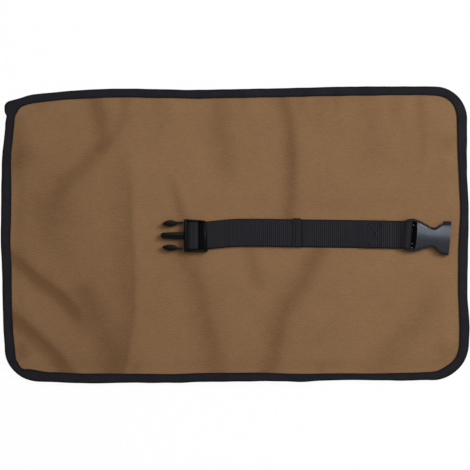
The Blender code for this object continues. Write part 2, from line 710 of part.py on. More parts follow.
def crown_outline(half_width, half_height, half_edge):
    """The socket seen into its mouth: both faces bow out from thinner side edges."""
    steps = ROUND_STEPS // 2
    reach = half_width + OVERRUN
    rise = half_height - half_edge
    upper = []
    for n in range(steps + 1):
        share = 2 * n / steps - 1
        upper.append((reach * share, half_height - rise * share**4))
    return [(y, -z) for y, z in upper] + upper[::-1]


def make_joints(guides):
    """Empties on the turning axes, hung on one another as the pieces are carried."""
    joints = {POCKET_COUNT - 1: pivot("sewn_strip", (0, 0, 0), guides)}
    parent = joints[POCKET_COUNT - 1]
    for number in range(POCKET_COUNT - 2, 0, -1):
        parent = pivot(f"seam_axis_{number}", (seam_x(number), 0, SEAM_LEVEL), guides, parent)
        joints[number] = parent
    root = joints[POCKET_COUNT - 1]
    last_seam = (seam_x(POCKET_COUNT - 1), 0, SEAM_LEVEL)
    joints[POCKET_COUNT] = pivot(f"seam_axis_{POCKET_COUNT}", last_seam, guides, root)
    joints["anchor"] = root
    lift = (ANCHOR_X - 2 * LAYER_GAP, STRAP_Y, STRAP_TOP)
    parent = joints["bend_0"] = pivot("plug_strap_axis", lift, guides, root)
    for order in range(1, STRAP_BEND_COUNT + 1):
        place = (strap_bend_x(order), STRAP_Y, STRAP_LOW)
        parent = joints[f"bend_{order}"] = pivot(f"strap_bend_axis_{order}", place, guides, parent)
    for side, name in ((1, "upper"), (-1, "lower")):
        place = (PLUG_FRONT_X - LAYER_GAP, side * LATCH_ARM_Y, BUCKLE_LEVEL)
        joints[f"latch_{name}"] = pivot(f"latch_axis_{name}", place, guides, parent)
    lift = (ANCHOR_END_X + 2 * LAYER_GAP, STRAP_Y, SECOND_TOP)
    parent = joints["loop_lift"] = pivot("socket_strap_axis", lift, guides, root)
    bend = (LOOP_BEND_X, STRAP_Y, STRAP_LOW)
    parent = joints["loop_bend"] = pivot("loop_bend_axis", bend, guides, parent)
    joints["swivel"] = pivot("socket_bar_axis", (SOCKET_BAR_X, STRAP_Y, BUCKLE_LEVEL), guides, parent)
    return joints


def main():
    """Build the tool roll."""
    clear_scene()
    parts = collection("tool_roll")
    cutters = collection("tool_roll_cutters")
    looks = {
        "canvas": finish("tan_canvas", (0.216, 0.122, 0.061), 0.92),
        "lining": finish("lining_canvas", (0.190, 0.108, 0.055), 0.92),
        "pocket": finish("pocket_canvas", (0.205, 0.117, 0.059), 0.92),
        "tape": finish("edge_tape", (0.016, 0.016, 0.019), 0.80),
        "webbing": finish("black_webbing", (0.018, 0.018, 0.022), 0.70),
        "plug": finish("plug_plastic", (0.012, 0.012, 0.015), 0.40),
        "socket": finish("socket_plastic", (0.030, 0.031, 0.037), 0.25),
    }
    joints = make_joints(parts)
    make_layers(parts, cutters, joints, looks)
    make_pockets(parts, cutters, joints, looks)
    make_strap(parts, joints, looks)
    make_plug(parts, cutters, joints, looks)
    make_socket(parts, cutters, joints, looks)


main()
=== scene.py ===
"""A canvas tool roll laid open, its outer face up, with a webbing strap and a side release buckle.

The roll's cloth is made whole, then cut at the middle of each strip into one length for each pocket
seam. All sizes are in metres.
"""

import logging
import math
from dataclasses import dataclass
from enum import Enum
from typing import Callable, Iterable, Iterator, Sequence

import bmesh
import bpy
from bmesh.types import BMEdge, BMesh, BMFace, BMVert
from bpy.types import ID, Material, Mesh, NodeSocket, Object, World
from mathutils import Matrix, Vector, noise

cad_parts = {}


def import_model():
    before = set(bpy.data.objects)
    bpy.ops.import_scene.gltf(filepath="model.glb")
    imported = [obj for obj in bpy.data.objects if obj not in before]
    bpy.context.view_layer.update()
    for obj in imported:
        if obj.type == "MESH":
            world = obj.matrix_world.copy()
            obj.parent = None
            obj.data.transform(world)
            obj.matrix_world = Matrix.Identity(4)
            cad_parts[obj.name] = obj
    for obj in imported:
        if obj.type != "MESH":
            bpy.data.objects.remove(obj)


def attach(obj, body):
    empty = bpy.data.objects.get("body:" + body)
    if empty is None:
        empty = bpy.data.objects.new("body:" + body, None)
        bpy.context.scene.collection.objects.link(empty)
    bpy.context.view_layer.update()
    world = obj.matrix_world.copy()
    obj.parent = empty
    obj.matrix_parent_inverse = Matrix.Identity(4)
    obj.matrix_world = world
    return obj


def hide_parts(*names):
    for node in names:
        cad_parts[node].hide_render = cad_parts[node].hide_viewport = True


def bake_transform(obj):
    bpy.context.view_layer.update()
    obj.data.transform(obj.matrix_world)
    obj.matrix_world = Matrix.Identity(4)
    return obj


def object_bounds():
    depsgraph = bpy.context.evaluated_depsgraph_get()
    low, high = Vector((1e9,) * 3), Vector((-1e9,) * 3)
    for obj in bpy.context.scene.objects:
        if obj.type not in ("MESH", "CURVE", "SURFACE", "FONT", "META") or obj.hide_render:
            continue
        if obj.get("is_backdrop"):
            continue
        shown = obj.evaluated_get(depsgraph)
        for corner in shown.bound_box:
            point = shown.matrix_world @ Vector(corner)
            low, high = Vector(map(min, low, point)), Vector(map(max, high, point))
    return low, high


LOG = logging.getLogger("tool_roll")
MM = 0.001
WELD = 0.002 * MM
CUT_WIDTH = 0.0005 * MM
SAME_LEVEL = 1e-7
SMOOTH_SHARE = 0.55
Point = tuple[float, float]
Triple = tuple[float, float, float]


def mm(*sizes: float | Sequence[float]) -> tuple:
    """Turns sizes or points given in millimetres to metres."""
    return tuple(size * MM if isinstance(size, (int, float)) else mm(*size) for size in sizes)


class Slot(Enum):
    """The record's material slots."""

    CANVAS = "outer_canvas"
    LINING = "lining_canvas"
    POCKET = "pocket_canvas"
    TAPE = "edge_tape"
    WEBBING = "webbing"
    PLUG = "plug_plastic"
    SOCKET = "socket_plastic"


# Shader building


class Channel:
    """A number that changes over a surface, kept as a socket of a shader graph."""

    def __init__(self, graph: "Graph", socket: NodeSocket) -> None:
        """Wraps the socket."""
        self.graph = graph
        self.socket = socket

    def _math(self, operation: str, first: object, second: object = 0.0) -> "Channel":
        """Adds one Math node on two values."""
        settings = {"operation": operation}
        return self.graph.add("ShaderNodeMath", settings, {0: first, 1: second}).out(0)

    def __add__(self, other: object) -> "Channel":
        """The sum."""
        return self._math("ADD", self, other)

    __radd__ = __add__

    def __sub__(self, other: object) -> "Channel":
        """The difference."""
        return self._math("SUBTRACT", self, other)

    def __rsub__(self, other: object) -> "Channel":
        """The difference, the other way round."""
        return self._math("SUBTRACT", other, self)

    def __mul__(self, other: object) -> "Channel":
        """The product."""
        return self._math("MULTIPLY", self, other)

    __rmul__ = __mul__

    def sine(self) -> "Channel":
        """The sine of the value."""
        return self._math("SINE", self)

    def size(self) -> "Channel":
        """The value without its sign."""
        return self._math("ABSOLUTE", self)

    def wave(self, pitch: float) -> "Channel":
        """A wave from 0 to 1 whose length is the pitch."""
        return (self * (2 * math.pi / pitch)).sine() * 0.5 + 0.5

    def most(self, other: object) -> "Channel":
        """The larger of two values."""
        return self._math("MAXIMUM", self, other)

    def ramp(self, low: float, high: float) -> "Channel":
        """Makes a smooth rise from 0 to 1.

        Args:
            low: where it starts.
            high: where it ends.

        Returns:
            The rise.
        """
        settings = {"interpolation_type": "SMOOTHSTEP"}
        inputs = {"Value": self, "From Min": low, "From Max": high}
        return self.graph.add("ShaderNodeMapRange", settings, inputs).out(0)


class Node:
    """One node of a shader graph."""

    def __init__(self, graph: "Graph", node: bpy.types.Node) -> None:
        """Wraps the node."""
        self.graph = graph
        self.node = node

    def out(self, name: str | int) -> Channel:
        """The output socket of that name or place."""
        return Channel(self.graph, self.node.outputs[name])


class Graph:
    """The nodes of one material."""

    def __init__(self, name: str) -> None:
        """Starts an empty material.

        Args:
            name: the material's name.
        """
        self.material = bpy.data.materials.new(name)
        self.material.use_nodes = True
        self.tree = self.material.node_tree
        self.tree.nodes.clear()

    @classmethod
    def of_world(cls, world: World) -> "Graph":
        """Starts an empty graph for the sky instead of a material.

        Args:
            world: the sky.

        Returns:
            The graph.
        """
        graph = cls.__new__(cls)
        graph.tree = world.node_tree
        graph.tree.nodes.clear()
        return graph

    def add(self, kind: str, settings: dict, inputs: dict) -> Node:
        """Adds a node, sets what it does, then fills its inputs.

        Args:
            kind: the node's type.
            settings: its own properties.
            inputs: values, or channels to link, by socket name or place.

        Returns:
            The node.
        """
        node = self.tree.nodes.new(kind)
        for key, value in settings.items():
            setattr(node, key, value)
        for key, value in inputs.items():
            socket = node.inputs[key]
            if isinstance(value, Channel):
                self.tree.links.new(value.socket, socket)
            else:
                socket.default_value = value
        return Node(self, node)

    def cloth_place(self) -> tuple[Channel, Channel]:
        """Reads the place on a cloth from its own map.

        Returns:
            The place along and across, in metres.
        """
        vector = self.add("ShaderNodeUVMap", {"uv_map": "cloth"}, {}).out("UV")
        parts = self.add("ShaderNodeSeparateXYZ", {}, {0: vector})
        return parts.out("X"), parts.out("Y")

    def at(self, x: object, y: object, z: object = 0.0) -> Channel:
        """A vector from three values."""
        return self.add("ShaderNodeCombineXYZ", {}, {0: x, 1: y, 2: z}).out(0)

    def object_place(self) -> Channel:
        """The place in the object's own coordinates."""
        return self.add("ShaderNodeTexCoord", {}, {}).out("Object")

    def noise(self, place: Channel, scale: float, detail: float = 3.0, rough: float = 0.55) -> Channel:
        """Soft noise between 0 and 1.

        Args:
            place: where it is read.
            scale: how fine it is.
            detail: how many finer layers it has.
            rough: how strong the finer layers are.

        Returns:
            The noise.
        """
        inputs = {"Vector": place, "Scale": scale, "Detail": detail, "Roughness": rough}
        return self.add("ShaderNodeTexNoise", {}, inputs).out(0)

    def blend(self, share: Channel, low: object, high: object) -> Channel:
        """Mixes two colours by a share."""
        settings = {"data_type": "RGBA", "clamp_factor": True}
        return self.add("ShaderNodeMix", settings, {0: share, 6: low, 7: high}).out(2)

    def bump(self, height: Channel, distance: float, strength: float = 1.0) -> Channel:
        """A bumped normal from a height between 0 and 1."""
        inputs = {"Height": height, "Distance": distance, "Strength": strength}
        return self.add("ShaderNodeBump", {}, inputs).out(0)

    def finish(self, **inputs: object) -> Material:
        """Closes the graph with a Principled shader.

        Args:
            **inputs: its sockets, with _ in place of spaces.

        Returns:
            The material.
        """
        named = {key.replace("_", " "): value for key, value in inputs.items()}
        shader = self.add("ShaderNodeBsdfPrincipled", {}, named)
        self.add("ShaderNodeOutputMaterial", {}, {0: shader.out(0)})
        return self.material


def rgb(red: int, green: int, blue: int) -> tuple[float, float, float, float]:
    """Turns a colour from screen values to the shader's plain values.

    Args:
        red: from 0 to 255.
        green: from 0 to 255.
        blue: from 0 to 255.

    Returns:
        The colour with its alpha.
    """

    def plain(value: int) -> float:
        """One channel without the screen's curve."""
        share = value / 255
        return share / 12.92 if share <= 0.04045 else ((share + 0.055) / 1.055) ** 2.4

    return (plain(red), plain(green), plain(blue), 1.0)


# Finishes


@dataclass(frozen=True)
class CanvasFinish:
    """Plain woven cotton canvas."""

    name: str
    shade: tuple
    deep: tuple
    yarn_pitch: float = 0.8 * MM
    weave_depth: float = 0.10 * MM
    roughness: float = 0.92

    def material(self) -> Material:
        """Makes the canvas with its weave, uneven yarns, soft mottling and painted shade in its
        creases.

        Returns:
            The material.
        """
        graph = Graph(self.name)
        along, across = graph.cloth_place()
        place = graph.at(along, across)
        warp = along.wave(self.yarn_pitch)
        weft = across.wave(self.yarn_pitch)
        weave = warp * weft + (1 - warp) * (1 - weft)
        slub_along = graph.noise(graph.at(along * 90, across * 1500), 1.0, 2.0)
        slub_across = graph.noise(graph.at(along * 1500, across * 90), 1.0, 2.0)
        streak = graph.noise(graph.at(along * 120, across * 620), 1.0, 3.0, 0.6)
        mottle = graph.noise(place, 42.0, 4.0, 0.6)
        cloudy = graph.noise(place, 9.0, 2.0, 0.5)
        grain = graph.noise(place, 620.0, 2.0, 0.6)
        # Painted shade: the crease attribute darkens the canvas in its creases, and lightens it where
        # it is negative.
        wear = graph.add("ShaderNodeAttribute", {"attribute_name": "crease"}, {}).out("Fac")
        tone = weave * 0.12 + slub_along * 0.25 + slub_across * 0.20 + streak * 0.42
        tone = tone + mottle * 0.30 + cloudy * 0.22 + grain * 0.80 - wear * 0.62 - 0.60
        colour = graph.blend(tone, self.deep, self.shade)
        height = weave * 0.6 + slub_along * 0.5 + slub_across * 0.4 + streak * 0.7 + mottle
        normal = graph.bump(height, self.weave_depth, 0.8)
        return graph.finish(
            Base_Color=colour, Roughness=self.roughness, Normal=normal,
            Specular_IOR_Level=0.25, Sheen_Weight=0.10, Sheen_Roughness=0.5,
        )


@dataclass(frozen=True)
class TapeFinish:
    """Black woven binding tape with fine ribs across its length."""

    name: str
    shade: tuple
    deep: tuple
    rib_pitch: float = 1.1 * MM
    yarn_pitch: float = 0.7 * MM
    rib_depth: float = 0.16 * MM
    # Where the painted shade at the tape's edges fades out and back in, along the section from its
    # inner edge.
    outer_rim: tuple = mm(0.5, 2.2)
    inner_rim: tuple = mm(7.6, 9.6)

    def material(self) -> Material:
        """Makes the tape, with painted shade at its inner edge and round its outer fold.

        Returns:
            The material.
        """
        graph = Graph(self.name)
        along, across = graph.cloth_place()
        rib = along.wave(self.rib_pitch)
        warp = across.wave(self.yarn_pitch)
        lint = graph.noise(graph.at(along, across), 700.0, 3.0, 0.7)
        patchy = graph.noise(graph.at(along, across), 60.0, 3.0, 0.6)
        # Painted shade: rims darkens the tape at its inner edge and from its outer fold on round its
        # underside.
        rims = across.ramp(*self.inner_rim) - across.ramp(*self.outer_rim) + 1
        tone = rib * 0.45 + warp * 0.15 + lint * 0.5 + patchy * 0.7 - rims * 0.45 - 0.30
        colour = graph.blend(tone, self.deep, self.shade)
        normal = graph.bump(rib * 0.8 + warp * 0.3 + lint * 0.5, self.rib_depth, 0.9)
        return graph.finish(
            Base_Color=colour, Roughness=0.86, Normal=normal,
            Specular_IOR_Level=0.15, Sheen_Weight=0.04, Sheen_Roughness=0.45,
        )


@dataclass(frozen=True)
class WebbingFinish:
    """Black woven webbing: ribs across, with rows of warp yarns along."""

    name: str
    shade: tuple
    deep: tuple
    rib_pitch: float = 2.1 * MM
    yarn_pitch: float = 1.3 * MM
    rib_depth: float = 0.38 * MM
    # How far off the middle the painted shade on the long edges starts and reaches full strength.
    selvedge_span: tuple = mm(12.9, 14.2)

    def material(self) -> Material:
        """Makes the webbing, with painted shade at its edges and furrow, and rib tops painted lighter.

        Returns:
            The material.
        """
        graph = Graph(self.name)
        along, across = graph.cloth_place()
        lint = graph.noise(graph.at(along, across), 800.0, 3.0, 0.7)
        patchy = graph.noise(graph.at(along, across), 45.0, 3.0, 0.6)
        zigzag = (across * (math.pi / self.yarn_pitch)).sine() * (0.10 * self.rib_pitch)
        rib = (along + zigzag).wave(self.rib_pitch)
        yarn = across.wave(self.yarn_pitch)
        height = rib * 0.8 + yarn * rib * 0.35 + lint * 0.25
        # Painted shade darkens both long edges of the webbing.
        edge_shade = across.size().ramp(*self.selvedge_span)
        # Painted shade: the crease attribute darkens the webbing in the hem's furrow.
        shaded = graph.add("ShaderNodeAttribute", {"attribute_name": "crease"}, {}).out("Fac")
        # The rib term paints the rib tops lighter than the valleys: painted light on the ribs.
        tone = rib * 0.80 + yarn * 0.10 + lint * 0.25 + patchy * 0.4 - edge_shade * 0.6 - 0.28
        tone = tone - shaded * 0.9
        colour = graph.blend(tone, self.deep, self.shade)
        normal = graph.bump(height, self.rib_depth, 0.9)
        return graph.finish(
            Base_Color=colour, Roughness=0.66, Normal=normal,
            Specular_IOR_Level=0.16, Sheen_Weight=0.03, Sheen_Roughness=0.4,
        )


@dataclass(frozen=True)
class PlasticFinish:
    """Moulded plastic, from satin to glossy."""

    name: str
    shade: tuple
    deep: tuple
    roughness: float
    grain_depth: float
    shine: float
    gleam: tuple = (1.0, 1.0, 1.0, 1.0)

    def material(self) -> Material:
        """Makes the plastic with a fine moulded grain and slight handling marks.

        Returns:
            The material.
        """
        graph = Graph(self.name)
        place = graph.object_place()
        grain = graph.noise(place, 1900.0, 2.0, 0.6)
        handled = graph.noise(place, 120.0, 4.0, 0.6)
        colour = graph.blend(handled, self.deep, self.shade)
        roughness = handled * 0.10 + (self.roughness - 0.05)
        normal = graph.bump(grain, self.grain_depth, 0.5)
        return graph.finish(
            Base_Color=colour, Roughness=roughness, Normal=normal,
            Specular_IOR_Level=self.shine, Specular_Tint=self.gleam,
        )


@dataclass(frozen=True)
class ThreadFinish:
    """Sewing thread."""

    name: str
    shade: tuple
    deep: tuple
    fuzz_depth: float = 0.08 * MM

    def material(self) -> Material:
        """Makes the thread, a little uneven along its length.

        Returns:
            The material.
        """
        graph = Graph(self.name)
        uneven = graph.noise(graph.object_place(), 1400.0, 2.0, 0.6)
        colour = graph.blend(uneven, self.deep, self.shade)
        normal = graph.bump(uneven, self.fuzz_depth, 0.8)
        return graph.finish(
            Base_Color=colour, Roughness=0.7, Normal=normal, Specular_IOR_Level=0.1
        )


class Finishes:
    """Every material of the roll, made once."""

    def __init__(self) -> None:
        """Makes the materials."""
        self.canvas = CanvasFinish("canvas", rgb(143, 109, 76), rgb(105, 75, 47)).material()
        self.lining = CanvasFinish("lining canvas", rgb(140, 108, 78), rgb(108, 80, 56)).material()
        self.pocket = CanvasFinish("pocket canvas", rgb(138, 105, 75), rgb(106, 78, 53)).material()
        self.tape = TapeFinish("edge tape", rgb(36, 35, 41), rgb(10, 10, 12)).material()
        self.webbing = WebbingFinish("webbing", rgb(38, 37, 43), rgb(8, 8, 10)).material()
        self.plug = PlasticFinish(
            "plug plastic", rgb(12, 11, 13), rgb(8, 8, 10), roughness=0.32, grain_depth=0.02 * MM,
            shine=0.08,
        ).material()
        self.socket = PlasticFinish(
            "socket plastic", rgb(18, 20, 26), rgb(14, 15, 20), roughness=0.21,
            grain_depth=0.012 * MM, shine=0.72, gleam=(0.82, 0.88, 1.0, 1.0),
        ).material()
        self.thread = ThreadFinish("black thread", rgb(33, 32, 37), rgb(20, 20, 23)).material()
        # The box stitch's thread: the black thread painted darker, as painted shade where it sinks into
        # the webbing.
        self.sunk_thread = ThreadFinish("sunk thread", rgb(13, 13, 15), rgb(6, 6, 8)).material()
        self.brown_thread = ThreadFinish("brown thread", rgb(120, 92, 66), rgb(88, 66, 46)).material()


# Mesh building


def ease(value: float, low: float, high: float) -> float:
    """Rises smoothly from 0 to 1.

    Args:
        value: where it is read.
        low: up to here it is 0.
        high: from here on it is 1.

    Returns:
        The share.
    """
    share = min(1.0, max(0.0, (value - low) / (high - low)))
    return share * share * (3 - 2 * share)


def curve_value(t: float, first: float, last: float, leave: float, arrive: float) -> float:
    """Reads a smooth curve between two values.

    Args:
        t: where it is read, from 0 to 1.
        first: the value at 0.
        last: the value at 1.
        leave: the slope at 0.
        arrive: the slope at 1.

    Returns:
        The value.
    """
    value = (2 * t**3 - 3 * t**2 + 1) * first + (t**3 - 2 * t**2 + t) * leave
    return value + (3 * t**2 - 2 * t**3) * last + (t**3 - t**2) * arrive


def table_value(stops: Sequence[Point], place: float) -> float:
    """Reads a smooth curve through a few stops.

    Args:
        stops: places and values, in rising order of place.
        place: where the curve is read.

    Returns:
        The value there, held level past both ends.
    """
    if place <= stops[0][0]:
        return stops[0][1]
    if place >= stops[-1][0]:
        return stops[-1][1]
    number = next(n for n, stop in enumerate(stops) if place <= stop[0])
    (low, first), (high, last) = stops[number - 1], stops[number]
    before = stops[max(0, number - 2)]
    after = stops[min(len(stops) - 1, number + 1)]
    span = high - low
    leave = (last - before[1]) / (high - before[0]) * span
    arrive = (after[1] - first) / (after[0] - low) * span
    return curve_value((place - low) / span, first, last, leave, arrive)


def mapped_grid(
    along: int,
    around: int,
    place: Callable[[float, float], Triple],
    chart: Callable[[float, float], Point],
) -> BMesh:
    """Makes a grid and puts each of its points where the shape has it.

    Args:
        along: faces in the first direction.
        around: faces in the second direction.
        place: gives a point from its two shares of the grid, each 0 to 1.
        chart: gives the cloth map's value from the same shares.

    Returns:
        The mesh, its doubles merged.
    """
    bm = bmesh.new()
    bmesh.ops.create_grid(bm, x_segments=along, y_segments=around, size=0.5)
    shares = {}
    for vert in bm.verts:
        first = round((vert.co.x + 0.5) * along) / along
        second = round((vert.co.y + 0.5) * around) / around
        shares[vert.index] = (first, second)
    layer = bm.loops.layers.uv.new("cloth")
    bm.verts.index_update()
    for face in bm.faces:
        for loop in face.loops:
            loop[layer].uv = chart(*shares[loop.vert.index])
    for vert in bm.verts:
        vert.co = place(*shares[vert.index])
    bmesh.ops.remove_doubles(bm, verts=bm.verts[:], dist=WELD)
    return bm


def close_ends(bm: BMesh) -> None:
    """Fills every open edge loop.

    Args:
        bm: the mesh.
    """
    edges = [edge for edge in bm.edges if edge.is_boundary]
    if edges:
        bmesh.ops.holes_fill(bm, edges=edges, sides=0)


def keep_normals(bm: BMesh) -> None:
    """Turns the faces outwards and notes every point's normal, before the cloth is cut.

    Args:
        bm: the mesh.
    """
    bmesh.ops.recalc_face_normals(bm, faces=bm.faces[:])
    bm.normal_update()
    layer = bm.verts.layers.float_vector.new("kept")
    for vert in bm.verts:
        vert[layer] = vert.normal


def cut_out(whole: BMesh, low: float | None, high: float | None) -> BMesh:
    """Cuts the part of a closed mesh between two upright planes across x.

    Args:
        whole: the mesh, which stays as it is.
        low: the left plane, or None for none.
        high: the right plane, or None for none.

    Returns:
        The part, closed at its cuts.
    """
    part = whole.copy()
    for level, side in ((low, "clear_inner"), (high, "clear_outer")):
        if level is None:
            continue
        geometry = part.verts[:] + part.edges[:] + part.faces[:]
        bmesh.ops.bisect_plane(
            part, geom=geometry, dist=CUT_WIDTH, plane_co=(level, 0, 0), plane_no=(1, 0, 0),
            **{side: True},
        )
    close_ends(part)
    return part


def meshed(name: str, bm: BMesh) -> Mesh:
    """Turns a bmesh into a mesh.

    Args:
        name: the mesh's name.
        bm: the bmesh, which is freed.

    Returns:
        The mesh.
    """
    mesh = bpy.data.meshes.new(name)
    bm.to_mesh(mesh)
    bm.free()
    return mesh


def linked(name: str, data: ID) -> Object:
    """Makes an object and puts it in the scene.

    Args:
        name: the object's name.
        data: its mesh, lamp or camera.

    Returns:
        The object.
    """
    obj = bpy.data.objects.new(name, data)
    bpy.context.scene.collection.objects.link(obj)
    return obj


def ripple(x: float, y: float, wave: Triple) -> float:
    """Reads a smooth random wave between -1 and 1.

    Args:
        x: the place, from left to right or along.
        y: the place, from bottom to top or across.
        wave: how fine it is in x and in y, and which one of many it is.

    Returns:
        The wave's height.
    """
    return noise.noise(Vector((x * wave[0], y * wave[1], wave[2])))


def to_object(
    name: str,
    bm: BMesh,
    material: Material,
    slot: Slot | None,
    sharp: float = math.radians(42),
    recalculate: bool = True,
) -> Object:
    """Turns a bmesh into a finished object with smooth faces.

    Args:
        name: the object's name.
        bm: the mesh, which is freed.
        material: its finish.
        slot: not used.
        sharp: edges that turn more than this stay sharp.
        recalculate: whether the faces are turned outwards first.

    Returns:
        The object.
    """
    if recalculate:
        bmesh.ops.recalc_face_normals(bm, faces=bm.faces[:])
    bm.normal_update()
    for edge in bm.edges:
        edge.smooth = len(edge.link_faces) == 2 and edge.calc_face_angle(0.0) < sharp
    for face in bm.faces:
        face.smooth = True
    layer = bm.verts.layers.float_vector.get("kept")
    kept: list[Vector] = []
    if layer is not None:
        for face in bm.faces:
            for loop in face.loops:
                normal = Vector(loop.vert[layer])
                own = normal.length > 0.5 and normal.dot(face.normal) > SMOOTH_SHARE
                kept.append(normal.normalized() if own else face.normal.copy())
    mesh = meshed(name, bm)
    if kept:
        mesh.normals_split_custom_set(kept)
        mesh.attributes.remove(mesh.attributes["kept"])
    mesh.materials.append(material)
    obj = linked(name, mesh)
    LOG.info("%s: %d faces", name, len(mesh.polygons))
    return obj


def merged(parts: Iterable[BMesh]) -> BMesh:
    """Puts several meshes into one.

    Args:
        parts: the meshes, which are freed.

    Returns:
        The one mesh.
    """
    whole = bmesh.new()
    for part in parts:
        mesh = meshed("part", part)
        whole.from_mesh(mesh)
        bpy.data.meshes.remove(mesh)
    return whole


def thicken(bm: BMesh, faces: Sequence[BMFace], shift: float) -> None:
    """Copies faces straight up or down and closes the space between.

    Args:
        bm: the mesh.
        faces: the faces to copy.
        shift: how far up the copies lie.
    """
    grown = bmesh.ops.extrude_face_region(bm, geom=faces)["geom"]
    moved = [item for item in grown if isinstance(item, BMVert)]
    bmesh.ops.translate(bm, vec=(0, 0, shift), verts=moved)


def round_edges(
    bm: BMesh, edges: Sequence[BMEdge], radius: float, segments: int, clamp: bool = False
) -> None:
    """Rounds some edges of a mesh.

    Args:
        bm: the mesh.
        edges: the edges.
        radius: how far the rounding reaches from each edge.
        segments: how many faces it has.
        clamp: whether it stops where two roundings would meet.
    """
    bmesh.ops.bevel(
        bm, geom=edges, offset=radius, affect="EDGES", segments=segments, profile=0.5,
        material=-1, clamp_overlap=clamp,
    )


def rounded_box(low: Triple, high: Triple, radius: float, segments: int = 3) -> BMesh:
    """Makes a box with rounded edges.

    Args:
        low: its corner with the lowest values.
        high: the opposite corner.
        radius: the rounding of its edges.
        segments: how many faces the rounding has.

    Returns:
        The box.
    """
    bm = bmesh.new()
    size = [b - a for a, b in zip(low, high)]
    middle = [(a + b) / 2 for a, b in zip(low, high)]
    place = Matrix.Translation(middle) @ Matrix.Diagonal((*size, 1.0))
    bmesh.ops.create_cube(bm, size=1.0, matrix=place)
    round_edges(bm, bm.edges[:], radius, segments)
    return bm


def slab(outline: Sequence[Point], low: float, high: float, radius: float) -> BMesh:
    """Raises an outline between two heights and rounds its upper and lower rims.

    Args:
        outline: the shape in plan.
        low: its underside's height.
        high: its top's height.
        radius: the rounding of its rims.

    Returns:
        The closed shape.
    """
    bm = bmesh.new()
    face = bm.faces.new([bm.verts.new((x, y, low)) for x, y in outline])
    thicken(bm, [face], high - low)
    bmesh.ops.recalc_face_normals(bm, faces=bm.faces[:])
    rims = [edge for edge in bm.edges if abs(edge.verts[0].co.z - edge.verts[1].co.z) < SAME_LEVEL]
    round_edges(bm, rims, radius, 2, clamp=True)
    return bm


def run_lengths(points: Sequence[Point], start: float = 0.0) -> list[float]:
    """Measures how far along a line each of its points lies.

    Args:
        points: the line.
        start: the first point's distance.

    Returns:
        A distance for each point.
    """
    reach = [start]
    for a, b in zip(points, points[1:]):
        reach.append(reach[-1] + math.dist(a, b))
    return reach


def rounded_path(points: Sequence[Point], radius: float, steps: int) -> list[Point]:
    """Rounds the corners of a line.

    Args:
        points: the line's corners.
        radius: the rounding of each inner corner.
        steps: how many points each rounding has after its first.

    Returns:
        The rounded line.
    """
    path = [Vector(points[0])]
    for before, corner, after in zip(points, points[1:], points[2:]):
        corner = Vector(corner)
        back = (Vector(before) - corner).normalized()
        ahead = (Vector(after) - corner).normalized()
        half = back.angle(ahead) / 2
        reach = radius / math.tan(half)
        centre = corner + (back + ahead).normalized() * (radius / math.sin(half))
        start = corner + back * reach - centre
        turn = start.angle_signed(corner + ahead * reach - centre)
        for n in range(steps + 1):
            spoke = start.copy()
            spoke.rotate(Matrix.Rotation(-turn * n / steps, 2))
            path.append(centre + spoke)
    path.append(Vector(points[-1]))
    return [tuple(point) for point in path]


@dataclass
class Stitching:
    """Rows of short stitches of one thread."""

    pitch: float
    length: float
    width: float
    height: float
    rounding: float = 0.3

    def __post_init__(self) -> None:
        """Makes the shape of one stitch."""
        self.left = self.pitch / 2
        size = (self.length, self.width, self.height)
        low, high = (tuple(sign * value / 2 for value in size) for sign in (-1, 1))
        self.shape = meshed("stitch", rounded_box(low, high, self.rounding * self.height, 1))
        self.whole = bmesh.new()

    def sew(self, line: Sequence[Triple]) -> None:
        """Sews a row, which carries on the rhythm of the last one.

        Args:
            line: the places that it runs through.
        """
        for a, b in zip(line, line[1:]):
            a, b = Vector(a), Vector(b)
            way, span = (b - a).normalized(), (b - a).length
            turn = way.to_track_quat("X", "Z").to_matrix().to_4x4()
            while self.left < span:
                self.whole.from_mesh(self.shape)
                verts = self.whole.verts[:][-len(self.shape.vertices):]
                place = Matrix.Translation(a + way * self.left) @ turn
                bmesh.ops.transform(self.whole, matrix=place, verts=verts)
                self.left += self.pitch
            self.left -= span

    def finish(self, name: str, material: Material) -> Object:
        """Closes the rows into one object."""
        bpy.data.meshes.remove(self.shape)
        return to_object(name, self.whole, material, None)


# The roll's outline


